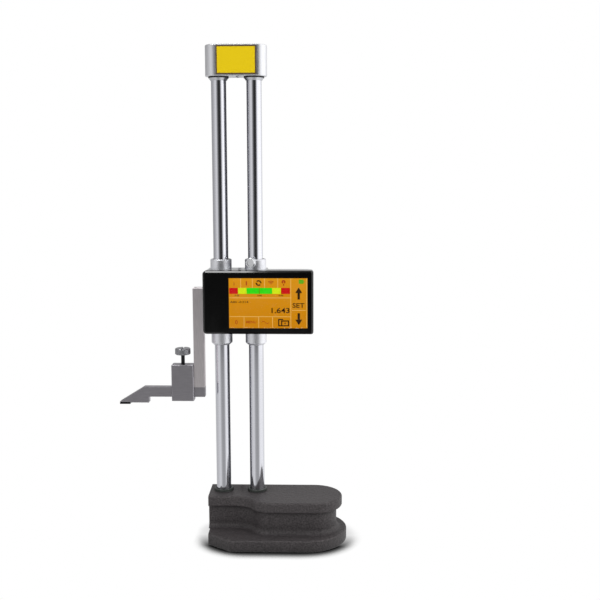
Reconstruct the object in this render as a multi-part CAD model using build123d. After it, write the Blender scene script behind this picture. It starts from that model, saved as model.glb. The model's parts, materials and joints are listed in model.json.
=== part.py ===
from build123d import *
from math import acos, cos, pi, radians, sin, tan
import os

os.makedirs("parts", exist_ok=True)

# Twin-column digital height gauge, measuring 0 to 300 mm. Sizes are in millimetres.
# The origin is on the ground underside of the base, midway between the two column axes.
# +Z points up, +X to the rounded end of the base, and the display faces -Y.
# The carriage is drawn at a middle height, where its measuring face is `measuring_height` above the origin.

# Fits
seat_gap = 0.02           # around a round piece that is pressed or bolted in its seat
running_gap = 0.05        # radial, around a column, shaft or screw that moves
sliding_gap = 0.05        # between flat faces that slide on each other
tolerance = 0.01          # for finding edges by their place
driver_slot_width = 0.5   # in the heads of countersunk screws

# Base casting
base_height = 44.3
plate_thickness = 10.6
flange_thickness = 11.2
base_left_x = -30.2       # flat end, by the columns
plate_back_y = 16.2
plate_end_x = 73.6        # centre of the rounded end of the top plate
plate_end_radius = 27.6
narrow_depth = 37.2       # top plate, back to front, at the columns
step_start_x = -4.0       # where the front edge starts to swing out
step_length = 35.0
waist_inset = 5.5
flange_end_x = 65.9       # centre of the rounded end of the bottom flange
flange_end_radius = 39.7
flange_cut_length = 23.9  # corners cut off at the flat end, along X
flange_cut_width = 17.9   # and along Y, in front
flange_rear_cut_width = 12.0
end_relief = 1.2          # the flat end stands back this far at the flange
foot_fillet = 5.0         # concave, waist to flange
neck_fillet = 2.5         # concave, waist to plate
plate_edge_radius = 2.0
flange_edge_radius = 1.2
ground_edge_radius = 1.2  # round the underside
relief_depth = 1.0        # shallow relief in the underside of the handle
relief_rim = 9.0
relief_start_x = 30.0

# Columns
column_spacing = 33.5
column_radius = 7.2
column_foot_z = 14.0      # lower end, inside the base
column_free_length = 404.2
column_in_cap = 16.0
column_end_chamfer = 0.8

# Rack in the rear of the right column, and the pinions that run on it
module = 0.8
pressure_angle = 20.0
pinion_teeth = 16
backlash = 0.16
rack_flat_depth = 0.8     # the tooth tips lie this far inside the round of the column
rack_root = 1.0
rack_bottom_z = 84.0
rack_top_z = 422.0
pinion_width = 6.0
pinion_spacing_teeth = 6  # rack pitches between the drive pinion and the encoder pinion

# Rings at the column feet, buffers and collars below the cap
ring_wall = 2.3
ring_height = 2.5
ring_chamfer = 0.5
buffer_wall = 2.45
buffer_height = 1.3
collar_wall = 2.1         # at its top, where it is widest
collar_foot_wall = 0.5
collar_height = 2.4

# Top cap
cap_length = 58.4
cap_depth = 20.8
cap_height = 29.0
cap_edge_radius = 1.0
label_width = 37.4
label_height = 26.0
label_thickness = 0.8
label_rise = 14.5         # label centre above the cap's underside
label_x = 0.9
label_corner = 1.0

# Screws of the stand
foot_screw_radius = 3.0
foot_screw_head_radius = 5.0
foot_screw_head_height = 6.0
foot_screw_length = 22.0
foot_bore_depth = 8.0
cap_screw_radius = 2.5
cap_screw_head_radius = 4.2
cap_screw_head_height = 5.0
cap_screw_length = 20.0
cap_bore_depth = 5.5
head_clearance = 0.3      # around a screw head in its counterbore

# Carriage block, a machined block that runs on both columns
carriage_z = 238.0        # middle of the block at rest
block_height = 57.5
block_left_wall = 12.25   # from the left column axis
block_right_wall = 11.25  # from the right column axis
block_front_y = -18.5
block_back_y = 11.0
block_edge_radius = 1.0
clearance_bore_wall = 1.0  # the block stands this far off the columns between the sleeves
arm_pad_height = 34.0
arm_pad_width = 9.0
gear_space = 31.5         # height left free for the gears between the sleeve seats

# Guide sleeves
sleeve_wall = 3.0
upper_sleeve_reach = 9.65
lower_sleeve_reach = 16.5
sleeve_top_chamfer = 0.8
sleeve_foot_chamfer = 1.9
wiper_depth = 0.9
wiper_wall = 1.2

# Measuring arm, with its nose pointing left
arm_width = 10.4
arm_thickness = 8.0
arm_right_x = -32.9
arm_y = -8.0              # middle of arm, scriber and clamp box
arm_length = 98.0
arm_top_rise = 11.6       # above the middle of the block
nose_height = 10.0
nose_length = 20.0
arm_corner = 0.8
arm_screw_radius = 1.5
arm_screw_head_radius = 2.75
arm_screw_head_height = 3.0
arm_screw_length = 14.0
arm_screw_spacing = 18.0

# Clamp box round nose and scriber
clamp_box_length = 21.6
clamp_box_depth = 11.6
clamp_box_floor = 3.7
clamp_box_height = 35.7
clamp_box_gap = 0.3       # to the arm
clamp_box_corner = 0.6
nose_headroom = 1.4

# Thumb screw of the clamp box
thumb_stem_radius = 1.8
thumb_neck = 9.8         # bare stem between box and head
thumb_head_radius = 7.55
thumb_head_height = 5.9
thumb_head_flutes = 44
thumb_slot_width = 1.4
thumb_slot_depth = 1.0

# Scriber
scriber_height = 9.5
scriber_width = 8.0
scriber_tip_x = -116.6
scriber_slope_x = -92.8   # where the sloping top starts
scriber_nose_x = -88.1    # back of the deeper nose
scriber_nose_drop = 5.9
tip_length = 10.1
tip_thickness = 1.9
tip_drop = 1.5            # measuring face below the scriber's nose
tip_land = 0.3            # height of the blunt front edge above the tip

# Carriage clamp on the upper right sleeve
clamp_turn = 13.0         # degrees from straight ahead towards the left
clamp_rise = 7.15         # above the top of the block
clamp_stem_radius = 1.5
clamp_pad_length = 0.85
clamp_pad_gap = 0.1
clamp_neck_radius = 2.8
clamp_neck_length = 2.4
clamp_knob_radius = 4.6
clamp_knob_length = 5.5
clamp_knob_flutes = 26
clamp_knob_dish = 0.8
clamp_knob_rim = 1.1
flute_depth = 0.3
knob_chamfer = 0.6

# Display unit
display_left_x = -31.2
display_width = 104.4
display_height = 60.1
display_rise = -0.45      # middle of the display, from the middle of the block
display_depth = 10.5
display_wall = 1.6
display_face = 1.5
display_left_corner = 3.4
display_right_corner = 2.2
display_bevel = 1.6
window_left_x = -6.4
window_width = 74.0
window_height = 47.5
window_rise = -0.5        # middle of the window, from the middle of the display
window_gap = 0.1
glass_thickness = 1.2
glass_set_back = 0.2
panel_thickness = 3.0
panel_margin = 1.1
backplate_thickness = 1.5
backplate_margin = 1.5
board_thickness = 1.6
board_margin = 5.0
standoff_height = 3.4
standoff_radius = 2.5
boss_radius = 1.5
boss_inset = 3.0
small_screw_radius = 0.7
small_screw_head_radius = 1.5
small_screw_head_height = 0.8
small_screw_length = 6.0
chip_size = 12.0
chip_height = 0.9
chip_spacing = 22.0
plate_screw_radius = 1.25
plate_screw_head_radius = 2.4
plate_screw_head_height = 1.2
plate_screw_length = 7.0
plate_screw_inset = 7.5

# Electronics housing, right of the block and behind the display
housing_back_y = -3.0
housing_wall = 1.8
housing_corner = 8.0
housing_margin = 1.0      # inside the display's right edge
battery_thickness = 8.0
battery_margin = 5.0
socket_width = 8.9
socket_depth = 3.2
socket_length = 7.0
socket_shell = 0.4
socket_tongue = 0.9
housing_screw_y = -14.0
housing_screw_inset = 6.5
housing_screw_length = 6.0
housing_screw_radius = 1.25
housing_screw_head_radius = 2.2
housing_screw_head_height = 1.5

# Gear frame behind the block
frame_left_x = 2.5
frame_left_wall = 9.0
frame_right_wall = 3.5
frame_cavity = 10.5       # between the walls, where the pinions turn
frame_end_margin = 7.1    # short of the block's top and bottom
frame_depth = 10.5
frame_back = 2.0
frame_lug_depth = 4.0     # the frame's lugs reach this far into the block
frame_lug_gap = 0.3       # between the lugs and the sleeve seats
frame_screw_x = 6.0
frame_screw_radius = 1.25
frame_screw_head_radius = 2.2
frame_screw_head_height = 1.4
frame_screw_length = 15.5
frame_screw_inset = 3.0

# Shafts, bushes, encoder
shaft_radius = 2.5
bush_radius = 4.0
left_bush_length = 6.0
shoulder_radius = 3.6
shoulder_gap = 0.1
drive_pinion_drop = 7.6   # drive axis below the middle of the block
shaft_left_end = 0.3      # the drive shaft ends this far inside the frame's left wall
disc_radius = 8.5
disc_thickness = 0.8
disc_x = -1.5
disc_hub_radius = 4.5
disc_pocket_gap = 1.0
disc_pocket_left_x = -6.0
reader_thickness = 2.6
reader_height = 11.0
reader_depth = 8.0
reader_slot = 2.2

# Rear cover over the gears
cover_left_x = -9.5
cover_depth = 14.0
cover_wall = 1.6
cover_margin = 1.2        # inside the block's top and bottom
cover_corner = 2.5
cover_boss_radius = 2.4
cover_boss_inset = 3.2
cover_screw_radius = 1.0
cover_screw_head_radius = 1.9
cover_screw_head_height = 1.3
cover_screw_length = 17.5
shaft_window_gap = 0.7

# Handwheel on the drive shaft
wheel_radius = 14.0
wheel_width = 11.0
wheel_hub_radius = 6.0
wheel_hub_length = 4.5
wheel_stand_off = 1.0     # hub to the rear cover
wheel_dish_radius = 10.5
wheel_dish_depth = 4.0
wheel_boss_radius = 4.5
wheel_flutes = 48
wheel_flute_depth = 0.5
grub_radius = 1.25
grub_length = 3.2

# Places that follow from the sizes
left_x = -column_spacing / 2
right_x = column_spacing / 2
plate_bottom_z = base_height - plate_thickness
plate_front_y = plate_back_y - 2 * plate_end_radius
narrow_front_y = plate_back_y - narrow_depth
base_middle_y = plate_back_y - plate_end_radius
cap_z = base_height + column_free_length
column_top_z = cap_z + column_in_cap
collar_top_z = cap_z - buffer_height
block_left_x = left_x - block_left_wall
block_right_x = right_x + block_right_wall
block_bottom_z = carriage_z - block_height / 2
block_top_z = carriage_z + block_height / 2
sleeve_seat = (block_height - gear_space) / 2
arm_pad_z = block_bottom_z + arm_pad_height / 2
sleeve_bore = column_radius + running_gap
sleeve_radius = sleeve_bore + sleeve_wall
lower_sleeve_z = block_bottom_z - lower_sleeve_reach
upper_sleeve_z = block_top_z + upper_sleeve_reach
arm_left_x = arm_right_x - arm_width
arm_front_y = arm_y - arm_thickness / 2
arm_back_y = arm_y + arm_thickness / 2
arm_top_z = carriage_z + arm_top_rise
arm_bottom_z = arm_top_z - arm_length
scriber_top_z = arm_bottom_z - sliding_gap
scriber_bottom_z = scriber_top_z - scriber_height
scriber_nose_z = scriber_bottom_z - scriber_nose_drop
measuring_height = scriber_nose_z - tip_drop
box_right_x = arm_left_x - clamp_box_gap
box_left_x = box_right_x - clamp_box_length
box_bottom_z = scriber_bottom_z - sliding_gap - clamp_box_floor
box_top_z = box_bottom_z + clamp_box_height
nose_top_z = arm_bottom_z + nose_height
thumb_x = (box_left_x + box_right_x) / 2
clamp_z = block_top_z + clamp_rise
clamp_place = Pos(right_x, 0, clamp_z) * Rot(0, 0, -clamp_turn) * Rot(90, 0, 0)
display_z = carriage_z + display_rise
display_right_x = display_left_x + display_width
backplate_front_y = block_front_y - backplate_thickness
display_front_y = backplate_front_y - display_depth
window_right_x = window_left_x + window_width
window_z = display_z + window_rise
panel_front_y = display_front_y + display_face
board_back_y = backplate_front_y - standoff_height
housing_right_x = display_right_x - housing_margin
rack_tip_y = column_radius - rack_flat_depth
rack_pitch_y = rack_tip_y - module
pinion_pitch_radius = module * pinion_teeth / 2
shaft_y = rack_pitch_y + pinion_pitch_radius
rack_pitch = pi * module
drive_z = carriage_z - drive_pinion_drop
encoder_z = drive_z + pinion_spacing_teeth * rack_pitch
frame_cavity_x = frame_left_x + frame_left_wall
frame_cavity_right_x = frame_cavity_x + frame_cavity
frame_right_x = frame_cavity_right_x + frame_right_wall
frame_back_y = block_back_y + frame_depth
pinion_x = (frame_cavity_x + frame_cavity_right_x) / 2
cover_back_y = block_back_y + cover_depth
wheel_left_x = block_right_x + wheel_stand_off
wheel_right_x = wheel_left_x + wheel_hub_length + wheel_width


def block(x0, x1, y0, y1, z0, z1):
    """A box between two opposite corners."""
    return Pos((x0 + x1) / 2, (y0 + y1) / 2, (z0 + z1) / 2) * Box(x1 - x0, y1 - y0, z1 - z0)


def rod_x(radius, x0, x1, y, z):
    """A round bar along X."""
    return Pos((x0 + x1) / 2, y, z) * Rot(0, 90, 0) * Cylinder(radius, x1 - x0)


def rod_y(radius, y0, y1, x, z):
    """A round bar along Y."""
    return Pos(x, (y0 + y1) / 2, z) * Rot(90, 0, 0) * Cylinder(radius, y1 - y0)


def rod_z(radius, z0, z1, x, y=0.0):
    """A round bar along Z."""
    return Pos(x, y, (z0 + z1) / 2) * Cylinder(radius, z1 - z0)


def socket_screw(radius, length, head_radius, head_height):
    """A socket head screw along Z: the head stands on Z = 0, the shank hangs below it."""
    head = rod_z(head_radius, 0, head_height, 0)
    shank = rod_z(radius, -length, 0, 0)
    key = Pos(0, 0, head_height / 2) * extrude(RegularPolygon(head_radius / 2, 6), head_height)
    return head + shank - key


def flat_screw(radius, length, head_radius, head_height):
    """A countersunk screw along Z: the top of its head is at Z = 0."""
    head = Pos(0, 0, -head_height / 2) * Cone(radius, head_radius, head_height)
    shank = rod_z(radius, -length, -head_height / 2, 0)
    slot = Box(2 * head_radius, driver_slot_width, head_height)
    return head + shank - slot


def fluted_bar(radius, length, flutes, depth):
    """A bar along Z from Z = 0, with straight V flutes in its rim and both edges chamfered."""
    points = []
    for i in range(2 * flutes):
        r = radius - depth * (i % 2)
        points.append((r * cos(pi * i / flutes), r * sin(pi * i / flutes)))
    star = extrude(make_face(Polyline(*points, close=True)), length)
    turned = rod_z(radius, 0, length, 0)
    turned = chamfer(turned.edges().filter_by(GeomType.CIRCLE), knob_chamfer)
    return star & turned


def group(solids):
    """Separate solids that share one node."""
    return Compound(children=[s.solid() for s in solids])


def edges_on(body, outline, z):
    """The edges of a body at height z that lie on an outline drawn at Z = 0, without its flat end."""
    found = []
    for edge in body.edges():
        middle = edge @ 0.5
        if abs(middle.Z - z) > tolerance or middle.X < base_left_x + tolerance:
            continue
        if outline.distance_to(Vertex(middle.X, middle.Y, 0)) < tolerance:
            found.append(edge)
    return found


def plate_outline(end_x):
    """Outline of the top plate: narrow at the columns, a soft step, then the wide rounded handle."""
    step_end_x = step_start_x + step_length
    middle = (step_start_x + step_length / 2, (plate_front_y + narrow_front_y) / 2)
    tip = (plate_end_x + plate_end_radius, base_middle_y)
    edges = [
        Line((end_x, plate_back_y), (plate_end_x, plate_back_y)),
        ThreePointArc((plate_end_x, plate_back_y), tip, (plate_end_x, plate_front_y)),
        Line((plate_end_x, plate_front_y), (step_end_x, plate_front_y)),
        TangentArc((step_end_x, plate_front_y), middle, tangent=(-1, 0)),
        TangentArc((step_start_x, narrow_front_y), middle, tangent=(1, 0)),
        Line((step_start_x, narrow_front_y), (end_x, narrow_front_y)),
        Line((end_x, narrow_front_y), (end_x, plate_back_y)),
    ]
    return make_face(edges)


def flange_outline():
    """Outline of the bottom flange: wider all round, with its corners cut at the flat end."""
    back_y = base_middle_y + flange_end_radius
    front_y = base_middle_y - flange_end_radius
    cut_x = base_left_x + flange_cut_length
    tip = (flange_end_x + flange_end_radius, base_middle_y)
    edges = [
        Line((cut_x, back_y), (flange_end_x, back_y)),
        ThreePointArc((flange_end_x, back_y), tip, (flange_end_x, front_y)),
        Line((flange_end_x, front_y), (cut_x, front_y)),
        Line((cut_x, front_y), (base_left_x, front_y + flange_cut_width)),
        Line((base_left_x, front_y + flange_cut_width), (base_left_x, back_y - flange_rear_cut_width)),
        Line((base_left_x, back_y - flange_rear_cut_width), (cut_x, back_y)),
    ]
    return make_face(edges)


def base_casting():
    """Heavy cast base: top plate, waist with a finger cove round it, wide bottom flange."""
    plate = plate_outline(base_left_x)
    flange = flange_outline()
    waist = offset(plate_outline(base_left_x - waist_inset), amount=-waist_inset)
    body = Pos(0, 0, plate_bottom_z) * extrude(plate, plate_thickness)
    body += extrude(flange, flange_thickness)
    body += Pos(0, 0, flange_thickness) * extrude(waist, plate_bottom_z - flange_thickness)
    body = fillet(edges_on(body, waist.wire(), flange_thickness), foot_fillet)
    body = fillet(edges_on(body, waist.wire(), plate_bottom_z), neck_fillet)
    body = fillet(edges_on(body, plate.wire(), base_height), plate_edge_radius)
    body = fillet(edges_on(body, plate.wire(), plate_bottom_z), plate_edge_radius)
    body = fillet(edges_on(body, flange.wire(), flange_thickness), flange_edge_radius)
    body = fillet(edges_on(body, flange.wire(), 0), ground_edge_radius)
    body -= block(base_left_x, base_left_x + end_relief, -flange_end_radius * 2,
                  flange_end_radius * 2, 0, flange_thickness)
    relief = extrude(offset(flange_outline(), amount=-relief_rim), relief_depth)
    body -= relief & block(relief_start_x, flange_end_x + flange_end_radius,
                           -flange_end_radius * 2, flange_end_radius * 2, 0, relief_depth)
    for x in (left_x, right_x):
        body -= rod_z(column_radius + seat_gap, column_foot_z, base_height, x)
        body -= rod_z(foot_screw_radius + head_clearance, 0, column_foot_z, x)
        body -= rod_z(foot_screw_head_radius + head_clearance, 0, foot_bore_depth, x)
    return body


def plain_column(x):
    """Ground and hard-chromed steel column, drilled at both ends for its screws."""
    body = rod_z(column_radius, column_foot_z, column_top_z, x)
    body = chamfer(body.edges().filter_by(GeomType.CIRCLE), column_end_chamfer)
    foot_reach = foot_bore_depth + foot_screw_length
    body -= rod_z(foot_screw_radius + seat_gap, column_foot_z, foot_reach, x)
    cap_screw_end_z = cap_z + cap_height - cap_bore_depth - cap_screw_length
    body -= rod_z(cap_screw_radius + seat_gap, cap_screw_end_z, column_top_z, x)
    return body


def rack_column():
    """The right column, with the rack cut into its rear."""
    slope = tan(radians(pressure_angle))
    middle_width = rack_pitch / 2
    tip_width = middle_width + 2 * module * slope
    root_width = middle_width - 2 * rack_root * slope
    root_y = rack_pitch_y - rack_root
    outside_y = 2 * column_radius
    first = -int((drive_z - rack_bottom_z) / rack_pitch)
    last = int((rack_top_z - drive_z) / rack_pitch)
    points = []
    for i in range(first, last + 1):
        z = drive_z + i * rack_pitch
        points += [(rack_tip_y, z - tip_width / 2), (root_y, z - root_width / 2)]
        points += [(root_y, z + root_width / 2), (rack_tip_y, z + tip_width / 2)]
    points += [(outside_y, points[-1][1]), (outside_y, points[0][1])]
    comb = extrude(Plane.YZ * make_face(Polyline(*points, close=True)), column_radius, both=True)
    return plain_column(right_x) - Pos(right_x, 0, 0) * comb


def column_ring(x):
    """Dark ring that seals the foot of a column, with a groove between it and the column."""
    radius = column_radius + ring_wall
    body = rod_z(radius, base_height, base_height + ring_height, x)
    body -= rod_z(column_radius + seat_gap, base_height, base_height + ring_height, x)
    return chamfer(body.edges().group_by(Axis.Z)[-1], ring_chamfer)


def cap_buffer(x):
    """Black rubber ring between the cap and its collar."""
    body = rod_z(column_radius + buffer_wall, collar_top_z, cap_z, x)
    return body - rod_z(column_radius + seat_gap, collar_top_z, cap_z, x)


def cap_collar(x):
    """Tapered collar under the buffer, the upper stop of the sleeves."""
    top_radius = column_radius + collar_wall
    foot_radius = column_radius + collar_foot_wall
    cone = Pos(x, 0, collar_top_z - collar_height / 2) * Cone(foot_radius, top_radius, collar_height)
    return cone - rod_z(column_radius + seat_gap, collar_top_z - collar_height, collar_top_z, x)


def top_cap():
    """Obround head that joins the columns at the top."""
    body = Pos(0, 0, cap_z) * extrude(SlotOverall(cap_length, cap_depth), cap_height)
    rims = body.edges().group_by(Axis.Z)
    body = fillet(rims[0] + rims[-1], cap_edge_radius)
    for x in (left_x, right_x):
        top_z = cap_z + cap_height
        body -= rod_z(column_radius + seat_gap, cap_z, column_top_z, x)
        body -= rod_z(cap_screw_radius + head_clearance, column_top_z, top_z, x)
        body -= rod_z(cap_screw_head_radius + head_clearance, top_z - cap_bore_depth, top_z, x)
    return body


def label_plate():
    """Thin plate on the front of the cap."""
    z = cap_z + label_rise
    front_y = -cap_depth / 2 - label_thickness
    body = block(label_x - label_width / 2, label_x + label_width / 2, front_y, -cap_depth / 2,
                 z - label_height / 2, z + label_height / 2)
    return fillet(body.edges().filter_by(Axis.Y), label_corner)


def foot_screw(x):
    """Screw from below that pulls a column into the base."""
    screw = socket_screw(foot_screw_radius, foot_screw_length,
                         foot_screw_head_radius, foot_screw_head_height)
    return Pos(x, 0, foot_bore_depth) * Rot(180, 0, 0) * screw


def cap_screw(x):
    """Screw from above that holds the cap on a column."""
    screw = socket_screw(cap_screw_radius, cap_screw_length,
                         cap_screw_head_radius, cap_screw_head_height)
    return Pos(x, 0, cap_z + cap_height - cap_bore_depth) * screw


def carriage_block():
    """The block that carries sleeves, display, arm and gears."""
    body = block(block_left_x, block_right_x, block_front_y, block_back_y,
                 block_bottom_z, block_top_z)
    body = fillet(body.edges().filter_by(Axis.Z), block_edge_radius)
    body += block(arm_right_x, block_left_x + block_edge_radius, arm_y - arm_pad_width / 2,
                  arm_y + arm_pad_width / 2, block_bottom_z, block_bottom_z + arm_pad_height)
    for x in (left_x, right_x):
        body -= rod_z(column_radius + clearance_bore_wall, block_bottom_z, block_top_z, x)
        body -= rod_z(sleeve_radius + seat_gap, block_bottom_z, block_bottom_z + sleeve_seat, x)
        body -= rod_z(sleeve_radius + seat_gap, block_top_z - sleeve_seat, block_top_z, x)
    body -= block(frame_cavity_x, frame_cavity_right_x, 0, block_back_y,
                  block_bottom_z + sleeve_seat, block_top_z - sleeve_seat)
    body -= block(frame_left_x, frame_right_x, block_back_y - frame_lug_depth, block_back_y,
                  block_bottom_z + sleeve_seat, block_top_z - sleeve_seat)
    pocket = disc_radius + disc_pocket_gap
    body -= block(disc_pocket_left_x, frame_left_x, shaft_y - pocket, block_back_y,
                  encoder_z - pocket, encoder_z + pocket)
    body -= rod_x(shaft_radius + shaft_window_gap, frame_right_x, block_right_x, shaft_y, drive_z)
    for x in plate_screw_places_x():
        for z in plate_screw_places_z():
            body -= rod_y(plate_screw_radius + seat_gap, block_front_y,
                          backplate_front_y + plate_screw_length, x, z)
    for z in frame_screw_places():
        body -= rod_y(frame_screw_radius + seat_gap, frame_back_y - frame_screw_length,
                      block_back_y, frame_screw_x, z)
    for x, z in cover_screw_places():
        body -= rod_y(cover_screw_radius + seat_gap, cover_back_y - cover_screw_length,
                      block_back_y, x, z)
    for z in housing_screw_places():
        body -= rod_x(housing_screw_radius + seat_gap,
                      block_right_x + housing_wall - housing_screw_length,
                      block_right_x, housing_screw_y, z)
    for z in arm_screw_places():
        body -= rod_x(arm_screw_radius + seat_gap, arm_right_x, arm_screw_end_x(), arm_y, z)
    return body


def plate_screw_places_x():
    """The backplate's screws stand in front of the columns."""
    return (left_x, right_x)


def plate_screw_places_z():
    reach = display_height / 2 - plate_screw_inset
    return (display_z - reach, display_z + reach)


def housing_screw_places():
    return (block_bottom_z + housing_screw_inset, block_top_z - housing_screw_inset)


def frame_bottom_z():
    return block_bottom_z + frame_end_margin


def frame_top_z():
    return block_top_z - frame_end_margin


def frame_screw_places():
    return (frame_bottom_z() + frame_screw_inset, frame_top_z() - frame_screw_inset)


def cover_screw_places():
    """Four corners of the rear cover."""
    places = []
    for x in (cover_left_x + cover_boss_inset, block_right_x - cover_boss_inset):
        for z in (block_bottom_z + cover_margin + cover_boss_inset,
                  block_top_z - cover_margin - cover_boss_inset):
            places.append((x, z))
    return places


def arm_screw_places():
    return (arm_pad_z - arm_screw_spacing / 2, arm_pad_z + arm_screw_spacing / 2)


def arm_screw_end_x():
    return arm_left_x + arm_screw_head_height + head_clearance + arm_screw_length


def sleeve(x, z0, z1, chamfers):
    """A guide sleeve: a turned tube, chamfered at its two ends and recessed for a felt wiper."""
    body = rod_z(sleeve_radius, z0, z1, x)
    rims = body.edges().filter_by(GeomType.CIRCLE).sort_by(Axis.Z)
    body = chamfer([rims[0]], chamfers[0])
    rims = body.edges().filter_by(GeomType.CIRCLE).sort_by(Axis.Z)
    body = chamfer([rims[-1]], chamfers[1])
    return body - rod_z(sleeve_bore, z0, z1, x)


def upper_sleeve(x):
    body = sleeve(x, block_top_z - sleeve_seat, upper_sleeve_z, (column_end_chamfer, sleeve_top_chamfer))
    return body - wiper_space(x, upper_sleeve_z - wiper_depth, upper_sleeve_z, 0)


def lower_sleeve(x):
    body = sleeve(x, lower_sleeve_z, block_bottom_z + sleeve_seat,
                  (sleeve_foot_chamfer, column_end_chamfer))
    return body - wiper_space(x, lower_sleeve_z, lower_sleeve_z + wiper_depth, 0)


def wiper_space(x, z0, z1, gap):
    """The ring of space at a sleeve's mouth that holds its felt wiper."""
    return rod_z(sleeve_bore + wiper_wall - gap, z0, z1, x)


def wiper(x, z0, z1):
    """Felt ring that keeps dust out of a sleeve."""
    return wiper_space(x, z0, z1, seat_gap) - rod_z(sleeve_bore, z0, z1, x)


def clamped_sleeve():
    """The upper right sleeve, with the hole of the carriage clamp."""
    hole = clamp_place * rod_z(clamp_stem_radius + running_gap, 0, 2 * sleeve_radius, 0)
    return upper_sleeve(right_x) - hole


def clamp_pad():
    """Brass pad between clamp screw and column."""
    start = column_radius + clamp_pad_gap
    return clamp_place * rod_z(clamp_stem_radius - seat_gap, start, start + clamp_pad_length, 0)


def clamp_stem():
    """Stem of the carriage clamp, from the pad into the knob."""
    start = column_radius + clamp_pad_gap + clamp_pad_length + sliding_gap
    knob_end = sleeve_radius + sliding_gap + clamp_neck_length + clamp_knob_length
    return clamp_place * rod_z(clamp_stem_radius, start, knob_end - clamp_knob_length / 2, 0)


def clamp_knob():
    """Knurled knob with a neck, a dished face and a bright chamfer round it."""
    neck_z = sleeve_radius + running_gap + sliding_gap
    rim_z = sleeve_radius + sliding_gap + clamp_neck_length
    face_z = rim_z + clamp_knob_length
    body = Pos(0, 0, rim_z) * fluted_bar(clamp_knob_radius, clamp_knob_length,
                                         clamp_knob_flutes, flute_depth)
    body += rod_z(clamp_neck_radius, neck_z, rim_z + knob_chamfer, 0)
    dish_radius = clamp_knob_radius - clamp_knob_rim - knob_chamfer
    body -= rod_z(dish_radius, face_z - clamp_knob_dish, face_z, 0)
    body -= rod_z(clamp_stem_radius + seat_gap, neck_z, face_z - clamp_knob_length / 2, 0)
    return clamp_place * body


def arm_bar():
    """Measuring arm: a ground bar down the carriage's left side, with a nose at its foot."""
    body = block(arm_left_x, arm_right_x, arm_front_y, arm_back_y, arm_bottom_z, arm_top_z)
    body += block(arm_left_x - nose_length, arm_left_x, arm_front_y, arm_back_y,
                  arm_bottom_z, nose_top_z)
    body = chamfer(body.edges().group_by(Axis.Z)[-1], arm_corner)
    for z in arm_screw_places():
        body -= rod_x(arm_screw_radius + seat_gap, arm_left_x, arm_right_x, arm_y, z)
        body -= rod_x(arm_screw_head_radius + head_clearance, arm_left_x,
                      arm_left_x + arm_screw_head_height + head_clearance, arm_y, z)
    return body


def arm_screw(z):
    """Screw that holds the arm on the block."""
    screw = socket_screw(arm_screw_radius, arm_screw_length,
                         arm_screw_head_radius, arm_screw_head_height)
    place = Pos(arm_left_x + arm_screw_head_height + head_clearance, arm_y, z)
    return place * Rot(0, -90, 0) * screw


def clamp_box():
    """Box that holds the scriber up against the nose."""
    half_depth = clamp_box_depth / 2
    body = block(box_left_x, box_right_x, arm_y - half_depth, arm_y + half_depth,
                 box_bottom_z, box_top_z)
    body = chamfer(body.edges().filter_by(Axis.Z) + body.edges().group_by(Axis.Z)[-1],
                   clamp_box_corner)
    half_slot = max(arm_thickness, scriber_width) / 2 + sliding_gap
    body -= block(box_left_x, box_right_x, arm_y - half_slot, arm_y + half_slot,
                  scriber_bottom_z - sliding_gap, nose_top_z + nose_headroom)
    return body - rod_z(thumb_stem_radius + running_gap, nose_top_z, box_top_z, thumb_x, arm_y)


def thumb_stem():
    """Blackened stem of the thumb screw, pressing on the nose."""
    top_z = box_top_z + thumb_neck + thumb_head_height / 2
    return rod_z(thumb_stem_radius, nose_top_z + sliding_gap, top_z, thumb_x, arm_y)


def thumb_head():
    """Knurled and slotted head of the thumb screw."""
    z = box_top_z + thumb_neck
    body = Pos(thumb_x, arm_y, z) * fluted_bar(thumb_head_radius, thumb_head_height,
                                               thumb_head_flutes, flute_depth)
    body -= rod_z(thumb_stem_radius + seat_gap, z, z + thumb_head_height / 2, thumb_x, arm_y)
    top_z = z + thumb_head_height
    return body - block(thumb_x - thumb_slot_width / 2, thumb_x + thumb_slot_width / 2,
                        arm_y - thumb_head_radius, arm_y + thumb_head_radius,
                        top_z - thumb_slot_depth, top_z)


def scriber():
    """Scriber: a square shank with a deeper nose and a top that slopes down to the tip."""
    tip_top_z = scriber_nose_z - tip_drop + tip_thickness
    outline = Polyline(
        (arm_right_x, scriber_bottom_z), (arm_right_x, scriber_top_z),
        (scriber_slope_x, scriber_top_z), (scriber_tip_x, tip_top_z + tip_land),
        (scriber_tip_x, tip_top_z), (scriber_tip_x + tip_length, tip_top_z),
        (scriber_tip_x + tip_length, scriber_nose_z), (scriber_nose_x, scriber_nose_z),
        (scriber_nose_x, scriber_bottom_z), close=True)
    face = Plane.XZ * make_face(outline)
    return Pos(0, arm_y, 0) * extrude(face, scriber_width / 2, both=True)


def scriber_tip():
    """Black carbide plate brazed under the tip; its underside is the measuring face."""
    return block(scriber_tip_x, scriber_tip_x + tip_length, arm_y - scriber_width / 2,
                 arm_y + scriber_width / 2, measuring_height, measuring_height + tip_thickness)


def display_block(margin, y0, y1):
    """A plate the size of the display, less a margin, between two depths."""
    half = display_height / 2 - margin
    return block(display_left_x + margin, display_right_x - margin, y0, y1,
                 display_z - half, display_z + half)


def display_corners(inset):
    """Four places near the corners of the display."""
    half = display_height / 2 - inset
    places = []
    for x in (display_left_x + inset, display_right_x - inset):
        for z in (display_z - half, display_z + half):
            places.append((x, z))
    return places


def window_block(margin, y0, y1):
    """The window's rectangle, grown by a margin, between two depths."""
    half = window_height / 2 + margin
    return block(window_left_x - margin, window_right_x + margin, y0, y1,
                 window_z - half, window_z + half)


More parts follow.
